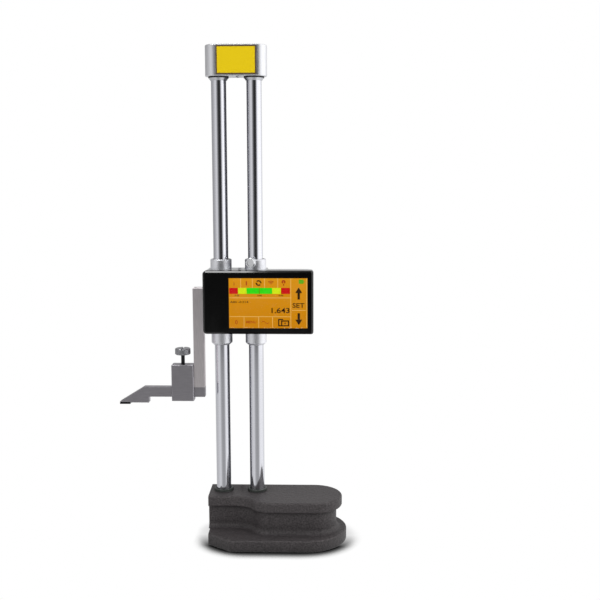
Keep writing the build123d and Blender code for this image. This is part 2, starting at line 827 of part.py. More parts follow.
def display_bezel():
    """Glossy black front housing: a shell open to the rear, with the window in its face."""
    body = display_block(0, display_front_y, backplate_front_y)
    corners = body.edges().filter_by(Axis.Y).sort_by(Axis.X)
    body = fillet(corners[:2], display_left_corner)
    body = fillet(body.edges().filter_by(Axis.Y).sort_by(Axis.X)[-2:], display_right_corner)
    body = chamfer(body.edges().group_by(Axis.Y)[0], display_bevel)
    body -= display_block(display_wall, panel_front_y, backplate_front_y)
    body -= window_block(0, display_front_y, panel_front_y)
    for x, z in display_corners(boss_inset):
        body += rod_y(boss_radius, panel_front_y, backplate_front_y, x, z)
    for x, z in display_corners(boss_inset):
        body -= rod_y(small_screw_radius + seat_gap, backplate_front_y - small_screw_length,
                      backplate_front_y, x, z)
    return body


def touch_glass():
    """Clear touch glass, a little behind the face."""
    front_y = display_front_y + glass_set_back
    return window_block(-window_gap, front_y, front_y + glass_thickness)


def lcd_panel():
    """Colour display panel behind the glass."""
    return window_block(panel_margin, panel_front_y, panel_front_y + panel_thickness)


def display_backplate():
    """Plate that closes the display and holds it on the block, with standoffs for the board."""
    body = display_block(backplate_margin, backplate_front_y, block_front_y)
    for x, z in display_corners(board_margin + standoff_radius):
        body += rod_y(standoff_radius, board_back_y, backplate_front_y, x, z)
        body -= rod_y(small_screw_radius + seat_gap, board_back_y, block_front_y, x, z)
    for x, z in display_corners(boss_inset):
        body -= Pos(x, block_front_y, z) * Rot(-90, 0, 0) * flat_screw_space()
    for x in plate_screw_places_x():
        for z in plate_screw_places_z():
            body -= rod_y(plate_screw_radius + head_clearance,
                          backplate_front_y, block_front_y, x, z)
    return body


def flat_screw_space():
    """The countersunk hole of a bezel screw, its head flush at Z = 0."""
    head = Pos(0, 0, -small_screw_head_height / 2)
    head *= Cone(small_screw_radius + seat_gap, small_screw_head_radius + seat_gap,
                 small_screw_head_height)
    return head + rod_z(small_screw_radius + seat_gap, -backplate_thickness, 0, 0)


def bezel_screw(x, z):
    """Countersunk screw from the rear of the backplate into a corner of the bezel."""
    length = small_screw_length + backplate_thickness
    screw = flat_screw(small_screw_radius, length - seat_gap,
                       small_screw_head_radius, small_screw_head_height)
    return Pos(x, block_front_y, z) * Rot(-90, 0, 0) * screw


def plate_screw(x, z):
    """Screw that holds the backplate on the block."""
    screw = socket_screw(plate_screw_radius, plate_screw_length,
                         plate_screw_head_radius, plate_screw_head_height)
    return Pos(x, backplate_front_y, z) * Rot(90, 0, 0) * screw


def main_board():
    """Circuit board on the backplate's standoffs, with its three largest chips."""
    front_y = board_back_y - board_thickness
    body = display_block(board_margin, front_y, board_back_y)
    for x, z in display_corners(board_margin + standoff_radius):
        body -= rod_y(small_screw_radius + seat_gap, front_y, board_back_y, x, z)
    for i in (-1, 0, 1):
        x = (display_left_x + display_right_x) / 2 + i * chip_spacing
        body += block(x - chip_size / 2, x + chip_size / 2, board_back_y, board_back_y + chip_height,
                      display_z - chip_size / 2, display_z + chip_size / 2)
    return body


def board_screw(x, z):
    """Small screw that holds the board on a standoff."""
    screw = socket_screw(small_screw_radius, small_screw_length - board_thickness,
                         small_screw_head_radius, small_screw_head_height)
    return Pos(x, board_back_y - board_thickness, z) * Rot(90, 0, 0) * screw


def housing_block(inset, y0, y1):
    """The outside of the electronics housing, less an inset, with its rear right corner rounded."""
    body = block(block_right_x + inset, housing_right_x - inset, y0, y1,
                 block_bottom_z + inset, block_top_z - inset)
    corner = body.edges().filter_by(Axis.Z).sort_by(Axis.X)[-2:].sort_by(Axis.Y)[-1]
    return fillet([corner], housing_corner - inset)


def usb_place():
    """Middle of the charging socket, in the floor of the housing."""
    return ((block_right_x + housing_right_x) / 2, (block_front_y + housing_back_y) / 2)


def electronics_housing():
    """Satin aluminium housing right of the block, open towards the display."""
    body = housing_block(0, block_front_y, housing_back_y)
    body -= housing_block(housing_wall, block_front_y - housing_wall, housing_back_y - housing_wall)
    for z in housing_screw_places():
        body -= rod_x(housing_screw_radius + head_clearance, block_right_x,
                      block_right_x + housing_wall, housing_screw_y, z)
    x, y = usb_place()
    half_width = socket_width / 2 + seat_gap
    half_depth = socket_depth / 2 + seat_gap
    return body - block(x - half_width, x + half_width, y - half_depth, y + half_depth,
                        block_bottom_z, block_bottom_z + housing_wall)


def usb_socket():
    """Charging and data socket, a folded shell with a tongue."""
    x, y = usb_place()
    half_width = socket_width / 2
    half_depth = socket_depth / 2
    z = block_bottom_z
    body = block(x - half_width, x + half_width, y - half_depth, y + half_depth, z, z + socket_length)
    body = fillet(body.edges().filter_by(Axis.Z), half_depth - tolerance)
    inner = block(x - half_width + socket_shell, x + half_width - socket_shell,
                  y - half_depth + socket_shell, y + half_depth - socket_shell,
                  z, z + socket_length - socket_shell)
    body -= fillet(inner.edges().filter_by(Axis.Z), half_depth - socket_shell - tolerance)
    return body + block(x - half_width / 2, x + half_width / 2, y - socket_tongue / 2,
                        y + socket_tongue / 2, z + socket_shell, z + socket_length)


def battery():
    """Flat lithium cell on the rear wall of the housing."""
    back_y = housing_back_y - housing_wall
    return block(block_right_x + housing_wall + battery_margin, housing_right_x - housing_corner,
                 back_y - battery_thickness, back_y,
                 block_bottom_z + socket_length + battery_margin,
                 block_top_z - housing_wall - battery_margin)


def housing_screw(z):
    """Screw from inside the housing into the block."""
    screw = socket_screw(housing_screw_radius, housing_screw_length,
                         housing_screw_head_radius, housing_screw_head_height)
    return Pos(block_right_x + housing_wall, housing_screw_y, z) * Rot(0, 90, 0) * screw


def gear_frame():
    """Machined frame behind the block that carries both pinion shafts in bushes."""
    lug_y = block_back_y - frame_lug_depth
    body = block(frame_left_x, frame_right_x, block_back_y, frame_back_y,
                 frame_bottom_z(), frame_top_z())
    body += block(frame_left_x, frame_right_x, lug_y, block_back_y,
                  block_bottom_z + sleeve_seat + frame_lug_gap, block_top_z - sleeve_seat - frame_lug_gap)
    body -= block(frame_cavity_x, frame_cavity_right_x, lug_y, frame_back_y - frame_back,
                  frame_bottom_z(), frame_top_z())
    for z in (drive_z, encoder_z):
        body -= rod_x(bush_radius + seat_gap, frame_left_x, frame_right_x, shaft_y, z)
    for z in frame_screw_places():
        body -= rod_y(frame_screw_radius + seat_gap, lug_y, frame_back_y, frame_screw_x, z)
    return body


def shaft_bushes(z):
    """Left and right bronze bush of one shaft."""
    solids = []
    for x0, x1 in ((frame_cavity_x - left_bush_length, frame_cavity_x),
                   (frame_cavity_right_x, frame_right_x)):
        bush = rod_x(bush_radius, x0, x1, shaft_y, z)
        solids.append(bush - rod_x(shaft_radius + running_gap, x0, x1, shaft_y, z))
    return solids


def frame_screw(z):
    """Screw that holds the gear frame on the block."""
    screw = socket_screw(frame_screw_radius, frame_screw_length,
                         frame_screw_head_radius, frame_screw_head_height)
    return Pos(frame_screw_x, frame_back_y, z) * Rot(-90, 0, 0) * screw


def involute(angle):
    return tan(angle) - angle


def pinion(z):
    """Spur pinion in mesh with the rack: one tooth points straight at it."""
    base_radius = pinion_pitch_radius * cos(radians(pressure_angle))
    tip_radius = pinion_pitch_radius + module
    root_radius = pinion_pitch_radius - rack_root
    half_tooth = pi / (2 * pinion_teeth) - backlash / (2 * pinion_pitch_radius)
    flank = [(root_radius, 0.0)]
    for share in (0.0, 1 / 3, 2 / 3, 1.0):
        radius = base_radius + share * (tip_radius - base_radius)
        flank.append((radius, involute(acos(base_radius / radius))))
    widest = half_tooth + involute(radians(pressure_angle))
    points = []
    for i in range(pinion_teeth):
        middle = pi + 2 * pi * i / pinion_teeth
        for radius, turn in flank:
            points.append((radius * cos(middle - widest + turn), radius * sin(middle - widest + turn)))
        for radius, turn in reversed(flank):
            points.append((radius * cos(middle + widest - turn), radius * sin(middle + widest - turn)))
    face = Plane.YZ * make_face(Polyline(*points, close=True))
    wheel = extrude(face, pinion_width / 2, both=True)
    return Pos(pinion_x, shaft_y, z) * wheel


def pinion_shaft(z, left_end_x, right_end_x):
    """Shaft and pinion turned from one bar, with a shoulder against each bush."""
    body = pinion(z) + rod_x(shaft_radius, left_end_x, right_end_x, shaft_y, z)
    return body + rod_x(shoulder_radius, frame_cavity_x + shoulder_gap,
                        frame_cavity_right_x - shoulder_gap, shaft_y, z)


def handwheel():
    """Knurled feed wheel: a fluted rim, a dished outer face and a hub with a grub screw."""
    rim_x = wheel_left_x + wheel_hub_length
    body = Pos(rim_x, shaft_y, drive_z) * Rot(0, 90, 0) * fluted_bar(
        wheel_radius, wheel_width, wheel_flutes, wheel_flute_depth)
    body += rod_x(wheel_hub_radius, wheel_left_x, rim_x + knob_chamfer, shaft_y, drive_z)
    dish = rod_x(wheel_dish_radius, wheel_right_x - wheel_dish_depth, wheel_right_x, shaft_y, drive_z)
    body -= dish - rod_x(wheel_boss_radius, rim_x, wheel_right_x, shaft_y, drive_z)
    body -= rod_x(shaft_radius + seat_gap, wheel_left_x, wheel_right_x, shaft_y, drive_z)
    return body - rod_z(grub_radius + seat_gap, drive_z, drive_z + wheel_hub_radius, grub_x(), shaft_y)


def grub_x():
    return wheel_left_x + wheel_hub_length / 2


def grub_screw():
    """Grub screw that holds the wheel on its shaft."""
    z = drive_z + shaft_radius + seat_gap
    body = rod_z(grub_radius, z, z + grub_length, grub_x(), shaft_y)
    key = extrude(RegularPolygon(grub_radius / 2, 6), grub_length)
    return body - Pos(grub_x(), shaft_y, z + grub_length / 2) * key


def encoder_disc():
    """Thin code disc of the rotary encoder."""
    body = rod_x(disc_radius, disc_x, disc_x + disc_thickness, shaft_y, encoder_z)
    return body - rod_x(shaft_radius + seat_gap, disc_x, disc_x + disc_thickness, shaft_y, encoder_z)


def encoder_hub():
    """Hub that carries the code disc."""
    start = disc_x + disc_thickness
    body = rod_x(disc_hub_radius, start, frame_left_x - shoulder_gap, shaft_y, encoder_z)
    return body - rod_x(shaft_radius + seat_gap, start, frame_left_x, shaft_y, encoder_z)


def encoder_reader():
    """Forked reader that looks at the rim of the code disc."""
    y0 = shaft_y - disc_radius - disc_pocket_gap
    x0 = disc_pocket_left_x
    x1 = disc_x + disc_thickness + reader_slot
    z0 = encoder_z - reader_height / 2
    z1 = encoder_z + reader_height / 2
    body = block(x0, x1, y0, y0 + reader_depth / 2, z0, z1)
    middle = disc_x + disc_thickness / 2
    body -= block(middle - reader_slot / 2, middle + reader_slot / 2, y0 + disc_pocket_gap / 2,
                  y0 + reader_depth / 2, z0, z1)
    return body


def rear_cover():
    """Moulded cover over the gears, with a hole for the drive shaft."""
    z0 = block_bottom_z + cover_margin
    z1 = block_top_z - cover_margin
    body = block(cover_left_x, block_right_x, block_back_y, cover_back_y, z0, z1)
    body = fillet(body.edges().filter_by(Axis.Y) + body.edges().group_by(Axis.Y)[-1], cover_corner)
    body -= block(cover_left_x + cover_wall, block_right_x - cover_wall, block_back_y,
                  cover_back_y - cover_wall, z0 + cover_wall, z1 - cover_wall)
    for x, z in cover_screw_places():
        body += rod_y(cover_boss_radius, block_back_y, cover_back_y - cover_wall, x, z)
    for x, z in cover_screw_places():
        body -= rod_y(cover_screw_radius + seat_gap, block_back_y, cover_back_y, x, z)
        body -= rod_y(cover_screw_head_radius + head_clearance, cover_back_y - cover_screw_head_height,
                      cover_back_y, x, z)
    window_x = block_right_x - cover_wall - 2 * cover_boss_radius
    return body - rod_x(shaft_radius + shaft_window_gap, window_x, block_right_x, shaft_y, drive_z)


def cover_screw(x, z):
    """Screw of the rear cover, its head sunk in the cover."""
    screw = socket_screw(cover_screw_radius, cover_screw_length - cover_screw_head_height,
                         cover_screw_head_radius, cover_screw_head_height)
    return Pos(x, cover_back_y - cover_screw_head_height, z) * Rot(-90, 0, 0) * screw


def wipers():
    """The four felt rings."""
    solids = []
    for x in (left_x, right_x):
        solids.append(wiper(x, lower_sleeve_z, lower_sleeve_z + wiper_depth))
        solids.append(wiper(x, upper_sleeve_z - wiper_depth, upper_sleeve_z))
    return solids


nodes = {
    "base_casting": base_casting(),
    "column_left": plain_column(left_x),
    "column_right": rack_column(),
    "column_foot_rings": group([column_ring(x) for x in (left_x, right_x)]),
    "column_foot_screws": group([foot_screw(x) for x in (left_x, right_x)]),
    "cap_buffers": group([cap_buffer(x) for x in (left_x, right_x)]),
    "cap_collars": group([cap_collar(x) for x in (left_x, right_x)]),
    "top_cap": top_cap(),
    "cap_label_plate": label_plate(),
    "cap_screws": group([cap_screw(x) for x in (left_x, right_x)]),
    "carriage_block": carriage_block(),
    "upper_sleeve_left": upper_sleeve(left_x),
    "upper_sleeve_right": clamped_sleeve(),
    "lower_sleeve_left": lower_sleeve(left_x),
    "lower_sleeve_right": lower_sleeve(right_x),
    "sleeve_wipers": group(wipers()),
    "clamp_pad": clamp_pad(),
    "clamp_stem": clamp_stem(),
    "clamp_knob": clamp_knob(),
    "arm_bar": arm_bar(),
    "arm_screws": group([arm_screw(z) for z in arm_screw_places()]),
    "clamp_box": clamp_box(),
    "thumb_stem": thumb_stem(),
    "thumb_head": thumb_head(),
    "scriber": scriber(),
    "scriber_tip": scriber_tip(),
    "display_bezel": display_bezel(),
    "touch_glass": touch_glass(),
    "lcd_panel": lcd_panel(),
    "display_backplate": display_backplate(),
    "bezel_screws": group([bezel_screw(x, z) for x, z in display_corners(boss_inset)]),
    "backplate_screws": group([plate_screw(x, z) for x in plate_screw_places_x()
                               for z in plate_screw_places_z()]),
    "main_board": main_board(),
    "board_screws": group([board_screw(x, z) for x, z in display_corners(board_margin + standoff_radius)]),
    "electronics_housing": electronics_housing(),
    "usb_socket": usb_socket(),
    "battery": battery(),
    "housing_screws": group([housing_screw(z) for z in housing_screw_places()]),
    "gear_frame": gear_frame(),
    "drive_bushes": group(shaft_bushes(drive_z)),
    "encoder_bushes": group(shaft_bushes(encoder_z)),
    "gear_frame_screws": group([frame_screw(z) for z in frame_screw_places()]),
    "drive_pinion_shaft": pinion_shaft(drive_z, frame_left_x + shaft_left_end, wheel_right_x),
    "handwheel": handwheel(),
    "handwheel_grub_screw": grub_screw(),
    "encoder_pinion_shaft": pinion_shaft(encoder_z, disc_x, frame_right_x),
    "encoder_disc": encoder_disc(),
    "encoder_hub": encoder_hub(),
    "encoder_reader": encoder_reader(),
    "rear_cover": rear_cover(),
    "rear_cover_screws": group([cover_screw(x, z) for x, z in cover_screw_places()]),
}

for name, shape in nodes.items():
    export_step(shape, f"parts/{name}.step")

print(f"measuring height at rest {measuring_height:.2f}")
print(f"sleeve to collar {collar_top_z - collar_height - upper_sleeve_z:.2f}")
print(f"sleeve to foot ring {lower_sleeve_z - base_height - ring_height:.2f}")
print(f"pinion pitch radius {pinion_pitch_radius:.3f}, shaft y {shaft_y:.3f}, drive z {drive_z:.3f}, "
      f"encoder z {encoder_z:.3f}")
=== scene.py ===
# %% [markdown]
# # A twin-column digital height gauge
# A height gauge stands on a flat surface plate and measures how high the tip of its scriber is.
# The shapes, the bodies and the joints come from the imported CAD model, which is loaded first and
# never moved. This file gives every piece its finish, cuts the knurls, draws the screen page, and
# sets up the camera, the floor, the room and the lamps.

# %% Load the frame
import json
from math import cos, pi, radians, sin

import bmesh
import bpy
from mathutils import Matrix, Vector


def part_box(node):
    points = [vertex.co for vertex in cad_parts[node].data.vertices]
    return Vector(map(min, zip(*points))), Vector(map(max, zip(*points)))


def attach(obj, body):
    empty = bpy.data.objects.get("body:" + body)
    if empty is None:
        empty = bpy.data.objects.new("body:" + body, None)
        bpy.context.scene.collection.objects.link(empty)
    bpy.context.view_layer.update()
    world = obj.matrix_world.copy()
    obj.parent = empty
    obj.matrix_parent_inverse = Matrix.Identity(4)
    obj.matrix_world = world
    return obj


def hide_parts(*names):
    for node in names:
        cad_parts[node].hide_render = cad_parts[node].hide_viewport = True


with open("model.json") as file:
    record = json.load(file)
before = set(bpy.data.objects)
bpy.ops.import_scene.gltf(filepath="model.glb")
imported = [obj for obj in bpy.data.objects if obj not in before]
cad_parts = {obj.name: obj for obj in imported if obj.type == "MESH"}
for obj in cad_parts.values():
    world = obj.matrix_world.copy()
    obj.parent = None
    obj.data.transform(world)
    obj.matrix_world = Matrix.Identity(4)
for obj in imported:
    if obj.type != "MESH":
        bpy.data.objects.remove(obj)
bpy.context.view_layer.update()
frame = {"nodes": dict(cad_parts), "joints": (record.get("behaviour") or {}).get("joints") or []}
nodes = frame["nodes"]

# %% [markdown]
# ## Camera
# The gauge is seen from a little above its middle, from the front and slightly right. Place, tilt
# and lens were worked out from the straight edges of the real one: a camera that is only near
# enough would make the columns lean or the base look too deep. The three angles are in radians.
# They apply from right to left, in the order in which a photographer makes them: roll on the lens,
# tilt down, turn on the tripod. Blender counts in metres, so lengths in millimetres carry a MM.

# %% Place the camera
MM = 0.001
CAMERA_PLACE = Vector((82.8, -863.9, 354.6)) * MM
CAMERA_TURN = 0.0266
CAMERA_TILT = 0.1362
CAMERA_ROLL = -0.0019
LENS_TO_FRAME = 1.4935


def add_object(name, data):
    """A new object in the scene, with this mesh, text, light or camera."""
    thing = bpy.data.objects.new(name, data)
    bpy.context.scene.collection.objects.link(thing)
    return thing


camera = add_object("camera", bpy.data.cameras.new("camera"))
camera.data.lens = LENS_TO_FRAME * camera.data.sensor_width
camera.matrix_world = (Matrix.Translation(CAMERA_PLACE) @ Matrix.Rotation(CAMERA_TURN, 4, "Z")
                       @ Matrix.Rotation(pi / 2 - CAMERA_TILT, 4, "X")
                       @ Matrix.Rotation(CAMERA_ROLL, 4, "Z"))
bpy.context.scene.camera = camera
bpy.context.scene.view_settings.view_transform = "Standard"
print(f"lens {camera.data.lens:.1f} mm, {-camera.location.y:.2f} m in front of the columns")

# %% [markdown]
# ## Starting a finish
# A finish here is one shader whose colour, roughness and surface are moved a little by a pattern.
# It starts as a plain shader with a name and three values. Everything else is a node whose inputs
# are fed, each with a fixed value or with what another node gives. Painted textures could do the
# same, but they need unwrapping, and they blur when the camera comes close.


# %% A plain shader and the nodes that feed it
def screen_colour(red, green, blue):
    """A colour as it reads on a screen, from 0 to 255, turned into the linear light of a shader."""
    return [(v / 255 / 12.92) if v < 11 else ((v / 255 + 0.055) / 1.055) ** 2.4
            for v in (red, green, blue)]


def shader_of(finish):
    return finish.node_tree.nodes["Principled BSDF"]


def new_finish(name, colour, metallic, roughness):
    finish = bpy.data.materials.new(name)
    finish.use_nodes = True
    shader = shader_of(finish)
    shader.inputs["Base Color"].default_value = (*colour, 1)
    shader.inputs["Metallic"].default_value = metallic
    shader.inputs["Roughness"].default_value = roughness
    return finish


def feed(owner, value, socket):
    """Gives an input its value, or links it if the value is the output of another node."""
    if isinstance(value, bpy.types.NodeSocket):
        owner.node_tree.links.new(value, socket)
    else:
        socket.default_value = value


def add_node(owner, kind, **values):
    """A node of a finish or of the room, with some of its inputs fed by name."""
    node = owner.node_tree.nodes.new(kind)
    for name, value in values.items():
        feed(owner, value, node.inputs[name])
    return node


print("mid grey of a screen is", round(screen_colour(128, 128, 128)[0], 3), "in linear light")

# %% [markdown]
# ## Patterns
# Patterns are made by nodes in the piece's own space, so that they travel with it. A cloudy noise
# that is stretched along one axis gives the lines that grinding or turning leaves, and an even one
# gives cast, moulded or painted surfaces. Rounded cells give dimples and moulded grain.


# %% Noise and dimples
def noise(finish, size, lines=(1, 1, 1), detail=3.0):
    """Cloudy pattern with spots of about this size in metres. An axis with 0 in `lines` has none."""
    place = add_node(finish, "ShaderNodeTexCoord").outputs["Object"]
    stretch = add_node(finish, "ShaderNodeMapping", Vector=place, Scale=lines)
    cloud = add_node(finish, "ShaderNodeTexNoise", Vector=stretch.outputs["Vector"],
                     Scale=1 / size, Detail=detail)
    return cloud.outputs["Fac"]


def dimples(finish, size):
    """Rounded cells of about this size in metres."""
    place = add_node(finish, "ShaderNodeTexCoord").outputs["Object"]
    cells = add_node(finish, "ShaderNodeTexVoronoi", Scale=1 / size)
    cells.feature = "SMOOTH_F1"
    feed(finish, place, cells.inputs["Vector"])
    return cells.outputs["Distance"]


print("patterns: noise, dimples")

# %% [markdown]
# ## What a pattern drives
# One pattern can shade the colour, change the polish and raise the surface. Keeping the three
# together matters: on a real part the scratch that is darker is also duller and deeper. Sharp
# edges are never quite sharp either, so the tool for relief also rounds them by a fraction of a
# millimetre, which lets them catch the light. Cutting those tiny roundings in the mesh would cost
# many faces, and they wouldn't be seen from where the whole gauge is seen.


# %% Tint, polish and relief
def ramp(owner, value, stops):
    """Turns a value into a colour, by stops of (value, colour) in rising order."""
    node = add_node(owner, "ShaderNodeValToRGB", Fac=value)
    elements = node.color_ramp.elements
    for count, (spot, colour) in enumerate(stops):
        stop = elements[count] if count < 2 else elements.new(spot)
        stop.position = spot
        stop.color = (*colour, 1)
    return node.outputs["Color"]


def tint(finish, pattern, dark, light, start=0.35, end=0.65, into="Base Color"):
    """The pattern moves a colour of the shader from dark to light."""
    feed(finish, ramp(finish, pattern, [(start, dark), (end, light)]), shader_of(finish).inputs[into])


def spread(owner, value, start, end, low, high):
    """Stretches the run of a value from start to end, so that it goes from low to high."""
    run = {"From Min": start, "From Max": end, "To Min": low, "To Max": high}
    return add_node(owner, "ShaderNodeMapRange", Value=value, **run).outputs["Result"]


def polish(finish, pattern, smoothest, roughest):
    """The pattern moves the roughness."""
    feed(finish, spread(finish, pattern, 0.3, 0.7, smoothest, roughest),
         shader_of(finish).inputs["Roughness"])


def relief(finish, pattern, height, edge=0.0):
    """The pattern raises the surface by about this height, and edges are rounded by `edge`."""
    bump = add_node(finish, "ShaderNodeBump", Strength=1.0, Distance=height, Height=pattern)
    if edge:
        soften = add_node(finish, "ShaderNodeBevel", Radius=edge)
        feed(finish, soften.outputs["Normal"], bump.inputs["Normal"])
    feed(finish, bump.outputs["Normal"], shader_of(finish).inputs["Normal"])


print("a pattern drives: tint, polish, relief")

# %% [markdown]
# ## Sums and blends
# Some finishes need two patterns at once, or a colour that depends on where a spot lies. Nodes can
# do the arithmetic while the picture is made. The other way, a mask painted beforehand, would have
# to be painted again whenever the shape changes.


# %% Sums and blends
def calculate(owner, operation, *terms):
    """One sum. Each term is a number or the output of another node."""
    step = add_node(owner, "ShaderNodeMath")
    step.operation = operation
    for term, socket in zip(terms, step.inputs):
        feed(owner, term, socket)
    return step.outputs["Value"]


def blend(owner, share, first, second):
    """A colour between two others: the first where the share is 0, the second where it is 1."""
    mix = add_node(owner, "ShaderNodeMix")
    mix.data_type = "RGBA"
    feed(owner, share, mix.inputs["Factor"])
    feed(owner, first, mix.inputs["A"])
    feed(owner, second, mix.inputs["B"])
    return mix.outputs["Result"]


def along(owner, vector, axis):
    """One axis of a vector, as a number."""
    return add_node(owner, "ShaderNodeSeparateXYZ", Vector=vector).outputs[axis]


print("sums and blends ready")

# %% [markdown]
# ## The cast base
# The base is grey iron, cast in sand and stoved with a dark hammered enamel. The enamel pulls
# together into shallow dimples two or three millimetres wide. Its colour is also darkened in the
# cove and under the plate: this is painted shade, and the less open sky is left over a spot, the
# darker it is painted. Smooth cells make the dimples, and a finer cloud breaks their regular look.
# The dimples could be real displacement, but they are only tenths of a millimetre deep, and a bump
# shows such a depth well at any distance from which the whole gauge is seen.

# %% Hammered enamel
DIMPLE = 2.6 * MM
PAINTED_SHADE_REACH = 16 * MM
PAINTED_SHADE_COLOUR = (0.004, 0.004, 0.004, 1)
hammered_enamel = new_finish("hammered_enamel", screen_colour(54, 51, 53), 0.0, 0.5)
shader_of(hammered_enamel).inputs["Specular IOR Level"].default_value = 0.25
enamel_cells = dimples(hammered_enamel, DIMPLE)
enamel_cloud = noise(hammered_enamel, DIMPLE / 2, detail=6.0)
paint = ramp(hammered_enamel, enamel_cloud, [(0.35, screen_colour(49, 46, 47)),
                                             (0.65, screen_colour(75, 71, 72))])
# Painted shade: where little open sky is left, in the cove and under the plate, the colour goes towards
# near black.
sky = add_node(hammered_enamel, "ShaderNodeAmbientOcclusion", Distance=PAINTED_SHADE_REACH).outputs["AO"]
unshaded_share = spread(hammered_enamel, sky, 0.35, 0.95, 0.3, 1.0)
feed(hammered_enamel, blend(hammered_enamel, unshaded_share, PAINTED_SHADE_COLOUR, paint),
     shader_of(hammered_enamel).inputs["Base Color"])
polish(hammered_enamel, enamel_cloud, 0.36, 0.56)
skin = calculate(hammered_enamel, "MULTIPLY_ADD", enamel_cells, 0.6, enamel_cloud)
relief(hammered_enamel, skin, 0.5 * MM, 0.6 * MM)
# The reach printed here is that of the painted shade in corners.
print(f"hammered enamel: dimples {DIMPLE / MM:.1f} mm wide, painted_shade_within {PAINTED_SHADE_REACH / MM:.0f} mm from a corner")

# %% [markdown]
# ## Chrome, turned and ground steel
# The columns are ground round and hard-chromed, so they mirror the room as long upright stripes.
# Their only texture is a faint ringing from the grinding wheel. The guide sleeves are turned: fine
# rings all round, so their pattern varies most along Z. The arm, the clamp box and the scriber are
# surface-ground, with fine lines along their length. A shader for brushed metal could stretch the
# reflections instead, but it shows no single line. So all are one kind of shader with other lines.


# %% Metals of the columns, the carriage and the arm
def worked_metal(name, colour, roughness, size, lines, height, edge=0.0):
    """Bare metal with the marks of its last tool: `lines` says along which axes they vary."""
    finish = new_finish(name, colour, 1.0, roughness)
    marks = noise(finish, size, lines)
    tint(finish, marks, [c * 0.88 for c in colour], colour)
    polish(finish, marks, roughness * 0.85, roughness * 1.2)
    relief(finish, marks, height, edge)
    return finish


chrome = worked_metal("hard_chrome", (0.73, 0.735, 0.785), 0.12, 0.6 * MM, (0, 0, 1), 0.0002 * MM)
turned_steel = worked_metal("turned_steel", (0.87, 0.875, 0.915), 0.42, 0.5 * MM, (0.3, 0.3, 1),
                            0.003 * MM, 0.3 * MM)
collar_steel = worked_metal("collar_steel", (0.62, 0.63, 0.66), 0.30, 0.3 * MM, (0.02, 0.02, 1),
                            0.003 * MM, 0.2 * MM)
ground_steel = worked_metal("ground_steel", (0.82, 0.77, 0.785), 0.44, 0.5 * MM, (1, 1, 0.05),
                            0.008 * MM, 0.3 * MM)
hardened_steel = worked_metal("hardened_steel", (0.42, 0.405, 0.435), 0.44, 0.45 * MM,
                              (0.06, 1, 1), 0.005 * MM, 0.3 * MM)
satin_cap = worked_metal("satin_cap", (0.81, 0.815, 0.845), 0.36, 0.5 * MM, (1, 1, 0.04),
                         0.002 * MM, 0.3 * MM)
satin_aluminium = worked_metal("satin_aluminium", (0.78, 0.79, 0.80), 0.36, 0.5 * MM,
                               (1, 0.05, 1), 0.003 * MM, 0.3 * MM)
print("metals so far:", len(bpy.data.materials) - 1)

# %% [markdown]
# ## Knurled and small metal pieces
# The knurled pieces are bright, plain or black under their diamonds. Screws and stems are
# blackened in an oxide bath, the pads and bushes are sintered bronze, which shows its grain, and
# the tip plate is black carbide. These pieces have no single direction of work, so most of their
# patterns are even on all three axes. One metal for them all would be simpler, but someone who
# opens the gauge would see that its bushes and its gears aren't made of the same stuff.

# %% Metals of the knobs, the screws and the gears
EVEN = (1, 1, 1)
knurled_chrome = worked_metal("knurled_chrome", (0.80, 0.81, 0.83), 0.18, 0.4 * MM, EVEN, 0.002 * MM)
knurled_steel = worked_metal("knurled_steel", (0.36, 0.36, 0.38), 0.34, 0.4 * MM, EVEN, 0.004 * MM)
black_anodised = worked_metal("black_anodised", (0.045, 0.045, 0.05), 0.38, 0.3 * MM, EVEN, 0.004 * MM)
black_oxide = worked_metal("black_oxide", (0.035, 0.035, 0.037), 0.42, 0.3 * MM, EVEN, 0.005 * MM)
carbide = worked_metal("black_carbide", (0.006, 0.006, 0.006), 0.35, 0.2 * MM, EVEN, 0.003 * MM)
sintered_bronze = worked_metal("sintered_bronze", (0.66, 0.48, 0.26), 0.40, 0.3 * MM, EVEN, 0.01 * MM)
gear_steel = worked_metal("gear_steel", (0.52, 0.52, 0.53), 0.30, 0.3 * MM, (1, 0.2, 0.2), 0.004 * MM)
stamped_steel = worked_metal("stamped_steel", (0.70, 0.70, 0.72), 0.28, 0.6 * MM, (1, 1, 0.1),
                             0.003 * MM)
print("metals:", ", ".join(m.name for m in bpy.data.materials
                           if shader_of(m).inputs["Metallic"].default_value))

# %% [markdown]
# ## Rubber rings
# The rings at the column feet and the buffers under the cap are black rubber that has greyed a
# little. Rubber is dull and even, so two faint clouds are enough: a fine one for the grain that
# the mould leaves, and a wider one for the bloom on the surface. One flat colour would be quicker
# to write, but it looks like a hole next to the chrome.

# %% Foot rings and buffers
ring_rubber = new_finish("ring_rubber", screen_colour(54, 57, 55), 0.0, 0.4)
relief(ring_rubber, noise(ring_rubber, 0.4 * MM), 0.03 * MM, 0.3 * MM)
tint(ring_rubber, noise(ring_rubber, 2 * MM), screen_colour(40, 43, 41), screen_colour(56, 59, 57))

buffer_rubber = new_finish("buffer_rubber", screen_colour(26, 26, 26), 0.0, 0.6)
relief(buffer_rubber, noise(buffer_rubber, 0.4 * MM), 0.03 * MM, 0.2 * MM)
tint(buffer_rubber, noise(buffer_rubber, 2 * MM), screen_colour(20, 20, 20), screen_colour(32, 32, 32))
print("rubbers: foot rings, buffers under the cap")

# %% [markdown]
# ## The display's shell
# The shell is a black moulding polished like a piano on its face and bevel, with only a trace of
# wipe marks, while its sides stay satin. Two materials on two groups of faces could say so. Here
# one material looks at the direction in which the surface faces, and lets the gloss go wherever
# that is no longer forward, so the CAD mesh stays as it is.

